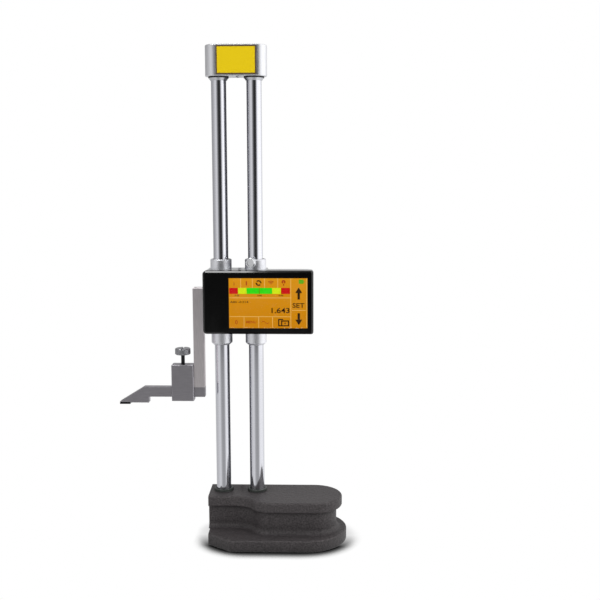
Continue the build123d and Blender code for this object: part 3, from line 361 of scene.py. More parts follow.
# %% Piano black
FACES_FORWARD = -0.6
FACES_ASIDE = -0.2
piano_black = new_finish("piano_black", (0.001, 0.001, 0.001), 0.0, 0.1)
polish(piano_black, noise(piano_black, 9 * MM, (1, 1, 0.3)), 0.05, 0.12)
relief(piano_black, noise(piano_black, 14 * MM), 0.003 * MM, 0.3 * MM)
shell_facing = add_node(piano_black, "ShaderNodeTexCoord").outputs["Normal"]
feed(piano_black, spread(piano_black, along(piano_black, shell_facing, "Y"),
                         FACES_FORWARD, FACES_ASIDE, 0.5, 0.04),
     shader_of(piano_black).inputs["Specular IOR Level"])
print("piano black: gloss on the face and the bevel")

# %% [markdown]
# ## Rear cover and felt
# The rear cover is a plain moulding with the leather-like grain that hides fingerprints, made of
# the same cells as the enamel but much finer. The wipers in the sleeves are pressed grey felt.
# Its hairs could be real hair, but the wipers are thin rings, and a rough surface is enough.

# %% Cover plastic and felt
cover_plastic = new_finish("cover_plastic", screen_colour(38, 38, 40), 0.0, 0.6)
relief(cover_plastic, dimples(cover_plastic, 0.7 * MM), 0.05 * MM)
tint(cover_plastic, noise(cover_plastic, 6 * MM), screen_colour(34, 34, 36), screen_colour(42, 42, 44))

grey_felt = new_finish("grey_felt", screen_colour(110, 106, 100), 0.0, 0.95)
relief(grey_felt, noise(grey_felt, 0.25 * MM, detail=6.0), 0.12 * MM)
tint(grey_felt, noise(grey_felt, 0.5 * MM), screen_colour(84, 80, 76), screen_colour(128, 124, 118))
print("grain of the cover 0.7 mm, hairs of the felt 0.25 mm")

# %% [markdown]
# ## Pieces behind the screen
# The circuit boards, the battery and the code disc are hidden while the gauge is closed, but the
# part can be opened up, so they have their own finishes: green solder resist with a faint weave of
# glass under it, a crinkled foil pouch, and glass with fine lines. Tracks and lettering of a board
# could be a picture, but nobody reads them here, so the plain resist is enough.

# %% Boards, foil and code disc
solder_resist = new_finish("solder_resist", (0.02, 0.16, 0.07), 0.0, 0.3)
tint(solder_resist, noise(solder_resist, 0.5 * MM), (0.015, 0.12, 0.05), (0.03, 0.20, 0.09))
relief(solder_resist, noise(solder_resist, 0.4 * MM), 0.01 * MM)

foil_pouch = new_finish("foil_pouch", (0.55, 0.56, 0.58), 0.7, 0.35)
relief(foil_pouch, noise(foil_pouch, 4 * MM, detail=4.0), 0.2 * MM)
tint(foil_pouch, noise(foil_pouch, 5 * MM), (0.48, 0.49, 0.51), (0.60, 0.61, 0.63))

code_glass = new_finish("code_glass", (0.70, 0.75, 0.75), 0.3, 0.1)
tint(code_glass, noise(code_glass, 0.25 * MM, (0.05, 1, 1)), (0.20, 0.21, 0.21), (0.75, 0.80, 0.80))
relief(code_glass, noise(code_glass, 0.25 * MM), 0.004 * MM)
print("inner finishes: solder resist, foil pouch, code glass")

# %% [markdown]
# ## Touch glass
# The glass over the screen is clear. It could be a faint surface that is mostly see-through, but
# then its reflection would fade with it. So it transmits light like real glass: it keeps its own
# reflection and still shows the picture behind it.

# %% Touch glass
touch_glass = new_finish("touch_glass", (0.97, 0.97, 0.97), 0.0, 0.02)
shader_of(touch_glass).inputs["Transmission Weight"].default_value = 1.0
shader_of(touch_glass).inputs["IOR"].default_value = 1.3
relief(touch_glass, noise(touch_glass, 12 * MM), 0.001 * MM)
print("glass: refraction", round(shader_of(touch_glass).inputs["IOR"].default_value, 2))

# %% [markdown]
# ## The lit page
# The page gives light, so it is an emission, a little brighter towards the top as its backlight
# is. A lamp behind a coloured sheet would do the same at the cost of noise. Only the front of the
# panel is lit, and its sides and back stay dark: the direction in which the surface faces decides.

# %% Amber page
amber_page = new_finish("amber_page", (0.002, 0.002, 0.002), 0.0, 0.4)
shader_of(amber_page).inputs["Specular IOR Level"].default_value = 0.1
page_low, page_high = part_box("lcd_panel")
page_coords = add_node(amber_page, "ShaderNodeTexCoord")
page_height = spread(amber_page, along(amber_page, page_coords.outputs["Object"], "Z"),
                     page_low.z, page_high.z, 0.0, 1.0)
tint(amber_page, page_height, screen_colour(204, 130, 2), screen_colour(218, 146, 12),
     0.0, 1.0, "Emission Color")
page_front = calculate(amber_page, "LESS_THAN",
                       along(amber_page, page_coords.outputs["Normal"], "Y"), -0.5)
feed(amber_page, page_front, shader_of(amber_page).inputs["Emission Strength"])
print(f"lit page {(page_high.x - page_low.x) / MM:.1f} by {(page_high.z - page_low.z) / MM:.1f} mm")

# %% [markdown]
# ## The label plate
# A thin enamelled plate sits on the front of the cap, yellow inside a dark border, and this gauge
# leaves it blank. The border could be a separate frame, but on the real plate it is printed, so
# the finish draws it: wherever the distance from the plate's middle comes near its half width or
# half height, the colour changes.

# %% Yellow enamel with a dark border
BORDER = 1.05 * MM
label_low, label_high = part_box("cap_label_plate")
label_middle = (label_low + label_high) / 2
label_half = (label_high - label_low) / 2
label_enamel = new_finish("label_enamel", screen_colour(235, 208, 20), 0.0, 0.4)
shader_of(label_enamel).inputs["Specular IOR Level"].default_value = 0.2
label_place = add_node(label_enamel, "ShaderNodeTexCoord").outputs["Object"]
border_sides = []
for axis, middle, half in (("X", label_middle.x, label_half.x), ("Z", label_middle.z, label_half.z)):
    from_middle = calculate(label_enamel, "SUBTRACT", along(label_enamel, label_place, axis), middle)
    distance = calculate(label_enamel, "ABSOLUTE", from_middle)
    border_sides.append(calculate(label_enamel, "GREATER_THAN", distance, half - BORDER))
in_border = calculate(label_enamel, "MAXIMUM", *border_sides)
tint(label_enamel, in_border, screen_colour(205, 177, 1), screen_colour(80, 62, 38))
relief(label_enamel, noise(label_enamel, 0.9 * MM), 0.008 * MM)
print(f"label plate {2 * label_half.x / MM:.1f} mm wide, border {BORDER / MM:.2f} mm")

# %% [markdown]
# ## Knurled pieces
# The thumb screw's head, the clamp knob and the feed wheel are turned and then knurled: two sets
# of slanting grooves are rolled into the rim and leave small diamonds that fingers can hold. A
# bump could only fake them, because the outline would stay round, so the grooves are cut in the
# mesh. Each piece is its half section spun round its axis, and the rim's points sink wherever a
# groove of either set runs. Lengths are in millimetres until the piece is put in its place.


# %% Spin a half section and knurl its rim
POINTS_PER_DIAMOND = 4


def finished_mesh(shape, name):
    """Turns a shape under construction into a mesh that an object can carry."""
    mesh = bpy.data.meshes.new(name)
    shape.to_mesh(mesh)
    shape.free()
    return mesh


def groove(turns):
    """How far a place is from its groove, from 0 in the groove to 1 on the crest."""
    return abs(2 * (turns % 1) - 1)


def knurled_turning(name, section, teeth, depth):
    """A closed mesh of revolution about Z. `section` holds rings of (radius, height, knurled)."""
    steps = POINTS_PER_DIAMOND * teeth
    shape = bmesh.new()
    rings = []
    for radius, height, knurled in section:
        ring = []
        for step in range(steps if radius else 1):
            angle = 2 * pi * step / steps
            sunk = 0.0
            if knurled:
                lead = height / (2 * pi * radius) * teeth
                share = step / steps * teeth
                sunk = depth * (1 - min(groove(share + lead), groove(share - lead)))
            reach = radius - sunk
            ring.append(shape.verts.new((reach * cos(angle), reach * sin(angle), height)))
        rings.append(ring)
    for low, high in zip(rings, rings[1:] + rings[:1]):
        for step in range(steps):
            after = (step + 1) % steps
            corners = [low[step % len(low)], low[after % len(low)],
                       high[after % len(high)], high[step % len(high)]]
            corners = list(dict.fromkeys(corners))
            if len(corners) > 2:
                shape.faces.new(corners)
    bmesh.ops.recalc_face_normals(shape, faces=shape.faces)
    return finished_mesh(shape, name)


def rim(radius, low, high, chamfer, pitch):
    """The rings of a chamfered, knurled rim, with a few to each diamond."""
    width = high - low - 2 * chamfer
    rows = round(width / pitch * POINTS_PER_DIAMOND)
    rings = [(radius - chamfer, low, False), (radius, low + chamfer, False)]
    for row in range(1, rows):
        rings.append((radius, low + chamfer + width * row / rows, True))
    return rings + [(radius, high - chamfer, False), (radius - chamfer, high, False)]


print("points round a rim of 48 diamonds:", 48 * POINTS_PER_DIAMOND)

# %% [markdown]
# ## Cutting and fitting a turned piece
# After the lathe, a piece goes to the mill or the drill for its slot or cross hole, so a boolean
# cut follows the turning here too. The finished piece takes the place of its plain CAD piece. It
# could be placed by typing in numbers, but the joint that turns it already knows the place and the
# axis, and a piece put there can't wobble when it turns.


# %% Cut a shape away, put a piece on its joint
SMOOTH_BELOW = radians(22)
joint_facts = {joint["name"]: joint for joint in frame["joints"]}


def cut_away(mesh, cutter):
    """The mesh less a box or bar, as a milling cutter or drill would leave it."""
    whole = add_object("whole", mesh)
    tool = add_object("tool", cutter)
    difference = whole.modifiers.new("cut", "BOOLEAN")
    difference.operation = "DIFFERENCE"
    difference.object = tool
    seen = whole.evaluated_get(bpy.context.evaluated_depsgraph_get())
    left_over = bpy.data.meshes.new_from_object(seen)
    left_over.name = mesh.name
    for thing in (whole, tool):
        bpy.data.objects.remove(thing)
    return left_over


def place_on_joint(mesh, joint_name, body, node_name, finish):
    """Puts a turned mesh on the axis of its joint, in place of its CAD node."""
    joint = joint_facts[joint_name]
    turn = Vector(joint["axis"]).to_track_quat("Z", "Y").to_matrix().to_4x4()
    mesh.transform(Matrix.Translation(joint["pos_m"]) @ turn @ Matrix.Scale(MM, 4))
    mesh.materials.clear()
    mesh.materials.append(finish)
    mesh.shade_smooth()
    mesh.set_sharp_from_angle(angle=SMOOTH_BELOW)
    piece = add_object(node_name + "_knurled", mesh)
    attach(piece, body)
    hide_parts(node_name)
    print(f"{piece.name}: {len(mesh.polygons)} faces")


print("joints:", ", ".join(joint_facts))

# %% [markdown]
# ## Thumb screw of the clamp box
# A flat knurled head on a blackened stem, with a slot for a coin or a screwdriver. Its size comes
# from its CAD piece, and its section starts in the bottom of the bore that holds the stem. The
# slot is milled after the turning, because the section alone can only make round shapes.

# %% Slotted head
THUMB_BORE = 1.82
CHAMFER = 0.6
SLOT_WIDTH = 1.4
SLOT_DEPTH = 1.0
thumb_low, thumb_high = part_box("thumb_head")
thumb_joint_height = joint_facts["thumb_screw_turn"]["pos_m"][2]
thumb_bottom = (thumb_low.z - thumb_joint_height) / MM
thumb_top = (thumb_high.z - thumb_joint_height) / MM
thumb_radius = (thumb_high.x - thumb_low.x) / 2 / MM
seat = (thumb_bottom + thumb_top) / 2
thumb_section = [(0, seat, False), (THUMB_BORE, seat, False), (THUMB_BORE, thumb_bottom, False)]
thumb_section += rim(thumb_radius, thumb_bottom, thumb_top, CHAMFER, 1.0) + [(0, thumb_top, False)]
thumb_mesh = knurled_turning("thumb_head", thumb_section, 48, 0.3)
slot_shape = bmesh.new()
bmesh.ops.create_cube(slot_shape, size=1.0)
slot_size = Matrix.Diagonal((SLOT_WIDTH, 4 * thumb_radius, 2 * SLOT_DEPTH, 1))
slot_shape.transform(Matrix.Translation((0, 0, thumb_top)) @ slot_size)
thumb_mesh = cut_away(thumb_mesh, finished_mesh(slot_shape, "slot"))
place_on_joint(thumb_mesh, "thumb_screw_turn", "thumb_screw", "thumb_head", knurled_steel)

# %% [markdown]
# ## Knob of the carriage clamp
# A small bright knob on the upper right sleeve, with a neck, and a shallow dish turned in its face
# so that only its rim shines. The heights are counted along its screw, from the axis of the
# sleeve. The dish could be a dark disc on a flat face, but a real hollow darkens by itself.

# %% Clamp knob
NECK_RADIUS = 2.8
NECK_START = 10.35
KNOB_BORE = 1.52
KNOB_RADIUS = 4.6
KNOB_START = 12.7
KNOB_END = 18.2
BORE_END = 15.45
DISH_RADIUS = 2.9
DISH_DEPTH = 0.8
knob_section = [(0, BORE_END, False), (KNOB_BORE, BORE_END, False), (KNOB_BORE, NECK_START, False),
                (NECK_RADIUS, NECK_START, False), (NECK_RADIUS, KNOB_START, False)]
knob_section += rim(KNOB_RADIUS, KNOB_START, KNOB_END, CHAMFER, 0.9)
knob_section += [(DISH_RADIUS, KNOB_END, False), (DISH_RADIUS, KNOB_END - DISH_DEPTH, False),
                 (0, KNOB_END - DISH_DEPTH, False)]
knob_mesh = knurled_turning("clamp_knob", knob_section, 30, 0.25)
place_on_joint(knob_mesh, "carriage_clamp_turn", "carriage_clamp", "clamp_knob", knurled_chrome)

# %% [markdown]
# ## Feed wheel
# The wheel behind the display drives the carriage up and down its rack. It is turned from
# aluminium and black anodised, with a deep dish round the end of its shaft. Here the section
# closes on itself, because the bore goes right through. The hole of the grub screw is drilled
# into the hub afterwards, straight up as the wheel stands at rest.

# %% Handwheel
WHEEL_BORE = 2.52
HUB_RADIUS = 6.0
HUB_LENGTH = 4.5
WHEEL_DISH_RADIUS = 10.5
WHEEL_DISH_DEPTH = 4.0
BOSS_RADIUS = 4.5
GRUB_HOLE_RADIUS = 1.27
wheel_joint = joint_facts["feed_wheel_turn"]
wheel_low, wheel_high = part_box("handwheel")
wheel_start = (wheel_low.x - wheel_joint["pos_m"][0]) / MM
wheel_end = (wheel_high.x - wheel_joint["pos_m"][0]) / MM
wheel_radius = (wheel_high.z - wheel_low.z) / 2 / MM
hub_end = wheel_start + HUB_LENGTH
dish_floor = wheel_end - WHEEL_DISH_DEPTH
wheel_section = [(WHEEL_BORE, wheel_start, False), (HUB_RADIUS, wheel_start, False),
                 (HUB_RADIUS, hub_end, False)]
wheel_section += rim(wheel_radius, hub_end, wheel_end, CHAMFER, 1.35)
wheel_section += [(WHEEL_DISH_RADIUS, wheel_end, False), (WHEEL_DISH_RADIUS, dish_floor, False),
                  (BOSS_RADIUS, dish_floor, False), (BOSS_RADIUS, wheel_end, False),
                  (WHEEL_BORE, wheel_end, False)]
wheel_mesh = knurled_turning("handwheel", wheel_section, 66, 0.45)
hole_shape = bmesh.new()
bmesh.ops.create_cone(hole_shape, cap_ends=True, segments=32, radius1=GRUB_HOLE_RADIUS,
                      radius2=GRUB_HOLE_RADIUS, depth=2 * HUB_RADIUS)
wheel_turn = Vector(wheel_joint["axis"]).to_track_quat("Z", "Y").to_matrix()
up_in_wheel = wheel_turn.inverted() @ Vector((0, 0, 1))
hole_middle = up_in_wheel * HUB_RADIUS + Vector((0, 0, wheel_start + HUB_LENGTH / 2))
hole_shape.transform(Matrix.Translation(hole_middle)
                     @ up_in_wheel.to_track_quat("Z", "Y").to_matrix().to_4x4())
wheel_mesh = cut_away(wheel_mesh, finished_mesh(hole_shape, "grub_hole"))
place_on_joint(wheel_mesh, "feed_wheel_turn", "feed_wheel", "handwheel", black_anodised)

# %% [markdown]
# ## What the screen shows
# The page is a go or no-go bar over the measured height, with keys above, below and at the side.
# It could be a picture laid on the panel, but a picture goes soft when the camera comes close, so
# every mark is a thin plate of light of its own between panel and glass. Places are given in
# millimetres from the lower left corner of the window, across in x and up in z. Closed outlines
# make bars, arrows and icons.


# %% Plates, bars, arrows and rings
MARK_THICKNESS = 0.04


def flat_mark(shape, points):
    """A thin closed plate with this outline, added to the layer's mesh."""
    front = []
    back = []
    for x, z in points:
        front.append(shape.verts.new((x, -MARK_THICKNESS, z)))
        back.append(shape.verts.new((x, 0, z)))
    shape.faces.new(front)
    shape.faces.new(back[::-1])
    for i in range(len(points)):
        after = (i + 1) % len(points)
        shape.faces.new((front[i], back[i], back[after], front[after]))


def bar(shape, x0, x1, z0, z1):
    flat_mark(shape, [(x0, z0), (x1, z0), (x1, z1), (x0, z1)])


def arrow(shape, x, tail_z, tip_z, half_head, half_shaft, head):
    """An upright arrow: its tip may be above or below its tail."""
    neck_z = tip_z - head if tip_z > tail_z else tip_z + head
    flat_mark(shape, [(x - half_shaft, tail_z), (x + half_shaft, tail_z), (x + half_shaft, neck_z),
                      (x + half_head, neck_z), (x, tip_z), (x - half_head, neck_z),
                      (x - half_shaft, neck_z)])


def ring_piece(shape, x, z, inner, outer, start, end):
    """Part of a ring, between two angles in degrees."""
    steps = max(3, round(abs(end - start) / 12))
    turns = [radians(start + (end - start) * i / steps) for i in range(steps + 1)]
    points = [(x + outer * cos(a), z + outer * sin(a)) for a in turns]
    points += [(x + inner * cos(a), z + inner * sin(a)) for a in reversed(turns)]
    flat_mark(shape, points)


print(f"marks are {MARK_THICKNESS:.2f} mm thick")

# %% [markdown]
# ## Letters
# The display's letters are plain and without serifs. They could be drawn point by point like the
# icons, but Blender brings a typeface of that kind. Each word is set in it, given the thickness of
# the other marks, and then fitted between two corners, so that it has the real one's size.


# %% Words in Blender's own typeface
LETTER_WEIGHT = 0.015
LETTER_ROUNDNESS = 3


def letters(shape, text, x0, x1, z0, z1):
    """A word, fitted between two corners."""
    curve = bpy.data.curves.new("letters", "FONT")
    curve.body = text
    curve.resolution_u = LETTER_ROUNDNESS
    curve.offset = LETTER_WEIGHT
    curve.extrude = MARK_THICKNESS / 2
    carrier = add_object("letters", curve)
    seen = carrier.evaluated_get(bpy.context.evaluated_depsgraph_get())
    drawn = bpy.data.meshes.new_from_object(seen)
    bpy.data.objects.remove(carrier)
    across = [v.co.x for v in drawn.vertices]
    upward = [v.co.y for v in drawn.vertices]
    wide = (x1 - x0) / (max(across) - min(across))
    tall = (z1 - z0) / (max(upward) - min(upward))
    for v in drawn.vertices:
        v.co = ((v.co.x - min(across)) * wide + x0, -v.co.z - MARK_THICKNESS / 2,
                (v.co.y - min(upward)) * tall + z0)
    shape.from_mesh(drawn)
    bpy.data.meshes.remove(drawn)


print("letters ready")

# %% [markdown]
# ## Layers of the page
# All marks of one colour share a mesh and one light, like the layers of a screen print. A material
# for every mark would be a long list that says the same thing. The layer is moved to the lower
# left corner of the window just in front of the panel, and it rides with the carriage.


# %% Close a layer
PANEL_MARGIN = 1.1
MARK_GAP = 0.02
WELD = 0.0005
window_corner = Vector((page_low.x / MM + PANEL_MARGIN, page_low.y / MM - MARK_GAP,
                        page_low.z / MM + PANEL_MARGIN))


def page_layer(name, shape, colour):
    """Closes a layer: one mesh in one colour of light, riding with the carriage."""
    bmesh.ops.remove_doubles(shape, verts=shape.verts, dist=WELD)
    bmesh.ops.recalc_face_normals(shape, faces=shape.faces)
    shape.transform(Matrix.Scale(MM, 4) @ Matrix.Translation(window_corner))
    ink = new_finish("page_" + name, (0.001, 0.001, 0.001), 0.0, 0.5)
    shader_of(ink).inputs["Specular IOR Level"].default_value = 0.1
    lit = screen_colour(*colour)
    tint(ink, noise(ink, 1.6 * MM), [c * 0.9 for c in lit], lit, into="Emission Color")
    shader_of(ink).inputs["Emission Strength"].default_value = 1.0
    mesh = finished_mesh(shape, "page_" + name)
    mesh.materials.append(ink)
    piece = add_object("page_" + name, mesh)
    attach(piece, "carriage")
    print(f"page layer {name}: {len(mesh.polygons)} faces")


print("window corner at", [round(v, 2) for v in window_corner], "mm")

# %% [markdown]
# ## Lines between the keys
# Pale lines part the page into keys: four uprights in the top row, three in the bottom row, one in
# front of the side column, and a few level ones. They could be the gaps between separate keys, but
# the real page has one ground with lines over it.

# %% Pale lines
LINE = 0.45
PAGE_WIDTH = 74.0
PAGE_HEIGHT = 47.5
TOP_ROW = 38.4
BAR_ROW = 28.6
BOTTOM_ROW = 10.7
SIDE_COLUMN = 58.1
pale = bmesh.new()
for x in (10.95, 22.0, 33.4, 45.9):
    bar(pale, x, x + LINE, TOP_ROW, PAGE_HEIGHT)
for x in (13.8, 27.7, 40.8):
    bar(pale, x, x + LINE, 0.2, BOTTOM_ROW - 0.1)
for z in (BOTTOM_ROW, BAR_ROW):
    bar(pale, 0.4, SIDE_COLUMN - 0.1, z, z + LINE)
bar(pale, SIDE_COLUMN, SIDE_COLUMN + LINE, 0.2, PAGE_HEIGHT)
bar(pale, SIDE_COLUMN + 1.2, PAGE_WIDTH - 1.6, 16.8, 16.8 + LINE)
bar(pale, PAGE_WIDTH - 0.9, PAGE_WIDTH - 0.4, 0.4, PAGE_HEIGHT - 0.3)
page_layer("pale_lines", pale, (236, 196, 104))

# %% [markdown]
# ## Tolerance bar
# The bar shows by colour whether a part is in tolerance: green in the middle, yellow-green near
# the limits and red outside. One bar with a pattern of colours would do too, but the zones meet at
# sharp edges and are switched by the gauge one by one, so each colour has bars of its own.

# %% Tolerance bar
BAR_LOW = 32.6
BAR_HIGH = 38.3
ZONE_GAP = 0.02
for name, colour, ends in (("red_zones", (206, 10, 14), ((0.4, 8.6), (49.1, 57.6))),
                           ("near_zones", (214, 238, 20), ((8.6, 16.7), (40.8, 49.1))),
                           ("green_zone", (48, 224, 18), ((16.7, 28.55), (29.0, 40.8)))):
    zone = bmesh.new()
    for x0, x1 in ends:
        bar(zone, x0 + ZONE_GAP, x1 - ZONE_GAP, BAR_LOW, BAR_HIGH)
    page_layer(name, zone, colour)

# %% [markdown]
# ## What the user reads
# The measured height, the limits, the keys that are switched on and the mark in the middle of the
# bar are nearly black. The sign for refresh is two pieces of a ring with an arrowhead each, and
# the folder key is seven bars. Words come from the typeface, and every icon from its few plates.

# %% Dark marks
REFRESH_X = 28.1
REFRESH_Z = 42.9
SIDE_ARROW_X = 65.8
dark = bmesh.new()
bar(dark, 28.6, 28.95, BAR_LOW, BAR_HIGH)
for x in (5.6, 26.9, 47.0):
    letters(dark, "0.00", x, x + 4.2, 30.3, 31.9)
letters(dark, "ABS -0.314", 1.1, 18.2, 23.9, 25.8)
letters(dark, "1.643", 40.1, 57.2, 14.3, 19.4)
letters(dark, "SET", 59.9, 71.2, 19.4, 23.9)
for start in (15, 195):
    ring_piece(dark, REFRESH_X, REFRESH_Z, 1.5, 2.7, start, start + 125)
for tip_x, turn in ((REFRESH_X - 2.1, 1), (REFRESH_X + 2.1, -1)):
    flat_mark(dark, [(tip_x - 1.1, REFRESH_Z + 0.2 * turn), (tip_x + 1.1, REFRESH_Z + 0.2 * turn),
                     (tip_x, REFRESH_Z - 1.6 * turn)][::turn])
for tail_z, tip_z in ((27.3, 38.8), (14.3, 2.9)):
    arrow(dark, SIDE_ARROW_X, tail_z, tip_z, 3.3, 1.15, 5.3)
folder_bars = [(46.3, 47.4, 1.8, 8.8), (47.4, 51.0, 7.7, 8.8), (47.4, 56.7, 1.8, 2.8),
               (55.6, 56.7, 2.8, 7.4), (50.2, 55.6, 6.3, 7.4), (49.1, 50.2, 2.8, 7.4),
               (52.3, 53.5, 4.0, 5.2)]
for x0, x1, z0, z1 in folder_bars:
    bar(dark, x0, x1, z0, z1)
page_layer("dark_marks", dark, (38, 22, 4))

# %% [markdown]
# ## Functions that are switched off
# The reddish marks are functions that are off: two small signs, a fan of three arcs, a lamp, a zero
# key, a menu key and a wave. Half see-through dark marks would look alike, but they take longer to
# render, so these marks have a plain colour of their own.

# %% Reddish marks
LAMP_X = 51.6
FAN_X = 39.7
WAVE_LENGTH = 3.6
WAVE_STEPS = 8
reddish = bmesh.new()
bar(reddish, 4.6, 5.3, 40.6, 43.4)
letters(reddish, "I", 16.0, 17.2, 40.6, 44.6)
for inner, outer in ((0.5, 1.3), (1.9, 2.6), (3.2, 3.9)):
    ring_piece(reddish, FAN_X, 41.2, inner, outer, 45, 135)
ring_piece(reddish, LAMP_X, 43.9, 0.3, 1.9, -60, 240)
bar(reddish, LAMP_X - 0.55, LAMP_X + 0.55, 40.4, 42.2)
letters(reddish, "0", 5.6, 8.0, 3.6, 7.6)
letters(reddish, "MENU", 16.1, 25.6, 4.5, 7.0)
for start, rise in ((30.6, 1.1), (30.6 + WAVE_LENGTH, -1.1)):
    wave = [(start + WAVE_LENGTH * i / WAVE_STEPS, 5.8 + rise * sin(pi * i / WAVE_STEPS))
            for i in range(WAVE_STEPS + 1)]
    flat_mark(reddish, wave + [(x, z - 0.6) for x, z in reversed(wave)])
page_layer("reddish_marks", reddish, (176, 64, 14))

# %% [markdown]
# ## Battery icon
# A green battery in the top right corner tells that the charge is good. It could share the green
# of the bar, but the real one is a darker green, so it is a layer of its own: the cell and its cap.

# %% Battery icon
charge = bmesh.new()
bar(charge, 65.9, 70.2, 42.2, 46.2)
bar(charge, 70.3, 71.0, 43.3, 45.1)
page_layer("green_icon", charge, (96, 176, 26))

# %% [markdown]
# ## Dressing the CAD pieces
# Every piece whose CAD shape is already right stays and gets its finish here. The list could name
# a finish for each piece, but it is grouped by finish, as a maker's parts list would be, so that
# pieces from the same stock stand together.

# %% Which finish goes on which piece
pieces_by_finish = {
    hammered_enamel: ["base_casting"],
    chrome: ["column_left", "column_right"],
    ring_rubber: ["column_foot_rings"],
    buffer_rubber: ["cap_buffers"],
    collar_steel: ["cap_collars"],
    satin_cap: ["top_cap"],
    label_enamel: ["cap_label_plate"],
    satin_aluminium: ["carriage_block", "display_backplate", "electronics_housing", "gear_frame"],
    turned_steel: ["upper_sleeve_left", "upper_sleeve_right", "lower_sleeve_left",
                   "lower_sleeve_right"],
    grey_felt: ["sleeve_wipers"],
    sintered_bronze: ["clamp_pad", "drive_bushes", "encoder_bushes", "encoder_hub"],
    black_oxide: ["clamp_stem", "thumb_stem", "column_foot_screws", "cap_screws", "arm_screws",
                  "bezel_screws", "backplate_screws", "housing_screws", "gear_frame_screws",
                  "handwheel_grub_screw", "rear_cover_screws"],
    knurled_chrome: ["clamp_knob"],
    knurled_steel: ["thumb_head"],
    ground_steel: ["arm_bar"],
    hardened_steel: ["clamp_box", "scriber"],
    carbide: ["scriber_tip"],
    piano_black: ["display_bezel"],
    touch_glass: ["touch_glass"],
    amber_page: ["lcd_panel"],
    solder_resist: ["main_board", "encoder_reader"],
    stamped_steel: ["usb_socket", "board_screws"],
    foil_pouch: ["battery"],
    gear_steel: ["drive_pinion_shaft", "encoder_pinion_shaft"],
    black_anodised: ["handwheel"],
    code_glass: ["encoder_disc"],
    cover_plastic: ["rear_cover"],
}
for finish, names in pieces_by_finish.items():
    for name in names:
        nodes[name].data.materials.clear()
        nodes[name].data.materials.append(finish)
undressed = set(nodes) - {name for names in pieces_by_finish.values() for name in names}
print("pieces without a finish:", sorted(undressed) or "none")

# %% [markdown]
# ## Floor
# The gauge stands on a pale floor that fades into a white background and keeps a soft shadow where
# the base touches it. A plain floor under lamps would never be quite white, so to the camera it is
# white by itself, and darkens where little open sky is left over it. Behind the base that shadow
# fades. Mirrors look through the floor, because below the horizon the room has a table of its own.


# %% Floor
FLOOR_RADIUS = 0.9
FLOOR_COLOUR = (0.42, 0.42, 0.42)
SHADOW_REACH = 19 * MM
SHADOW_BY_SKY = [(0.56, 0.006), (0.70, 0.08), (0.79, 0.24), (0.85, 0.48), (0.90, 0.76), (0.95, 1.0)]
FADE_START = -36 * MM
FADE_END = -8 * MM
MOST_FADED = 0.75


def choose(owner, share, first, second):
    """The second shader where the share is 1, and the first where it is 0."""
    mix = add_node(owner, "ShaderNodeMixShader", Fac=share)
    feed(owner, first, mix.inputs[1])
    feed(owner, second, mix.inputs[2])
    return mix.outputs["Shader"]


def floor_finish():
    """Pale floor. To the camera it is white, and darkens only in corners close to the object."""
    finish = new_finish("floor", FLOOR_COLOUR, 0.0, 0.9)
    corners = add_node(finish, "ShaderNodeAmbientOcclusion", Distance=SHADOW_REACH)
    corners.samples = 32
    shadow = ramp(finish, corners.outputs["AO"], [(sky, (level,) * 3) for sky, level in SHADOW_BY_SKY])
    place = add_node(finish, "ShaderNodeTexCoord").outputs["Object"]
    behind = spread(finish, along(finish, place, "Y"), FADE_START, FADE_END, 0.0, MOST_FADED)
    faded = blend(finish, behind, shadow, (1, 1, 1, 1))
    white = add_node(finish, "ShaderNodeEmission", Color=faded, Strength=1.0)
    clear = add_node(finish, "ShaderNodeBsdfTransparent")
    ray = add_node(finish, "ShaderNodeLightPath")
    to_mirrors = choose(finish, ray.outputs["Is Glossy Ray"], shader_of(finish).outputs["BSDF"],
                        clear.outputs["BSDF"])
    to_camera = choose(finish, ray.outputs["Is Camera Ray"], to_mirrors, white.outputs["Emission"])
    feed(finish, to_camera, finish.node_tree.nodes["Material Output"].inputs["Surface"])
    return finish


floor_shape = bmesh.new()
bmesh.ops.create_circle(floor_shape, cap_ends=True, segments=96, radius=FLOOR_RADIUS)
floor_mesh = finished_mesh(floor_shape, "floor")
floor_mesh.materials.append(floor_finish())
floor = add_object("floor", floor_mesh)
print(f"floor {2 * FLOOR_RADIUS:.1f} m across")

# %% [markdown]
# ## Dark card between the columns
# Beside bright chrome a photographer stands a dark card just out of sight, so that every edge
# keeps a dark line against the white paper. Darker walls in the room would do that too, but they
# would also darken the far sides of the columns. The card stands between the columns, where only
# mirrors see it.

# %% Dark card
CARD_FRONT = -2.5 * MM
CARD_BACK = 26 * MM
card_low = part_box("base_casting")[1].z
card_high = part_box("top_cap")[0].z
card_corners = [(0, CARD_FRONT, card_low), (0, CARD_BACK, card_low),
                (0, CARD_BACK, card_high), (0, CARD_FRONT, card_high)]
card_mesh = bpy.data.meshes.new("black_card")
card_mesh.from_pydata(card_corners, [], [(0, 1, 2, 3)])
card_paper = new_finish("card_paper", (0.14, 0.14, 0.155), 0.0, 0.9)
tint(card_paper, noise(card_paper, 6 * MM), (0.125, 0.125, 0.14), (0.16, 0.16, 0.175))
card_mesh.materials.append(card_paper)
card = add_object("black_card", card_mesh)
card.visible_camera = False
card.visible_diffuse = False
card.visible_shadow = False
card.visible_transmission = False
print(f"card {(card_high - card_low) / MM:.0f} mm high")

# %% [markdown]
# ## Room around the gauge
# Chrome shows whatever surrounds it, so the room matters as much as the lamps. A photographed room
# could be wrapped round the scene, but a few grey levels round the compass give the same stripes,
# and each can be changed by itself. Degree 0 is in front of the gauge, where the photographer
# stands, and is dark: that is the black stripe down the middle of each column. The right side is
# bright, the left side light grey, and the back is dimmer. About ten degrees below the horizon a
# pale table begins and evens the stripes out. The camera itself sees plain white.

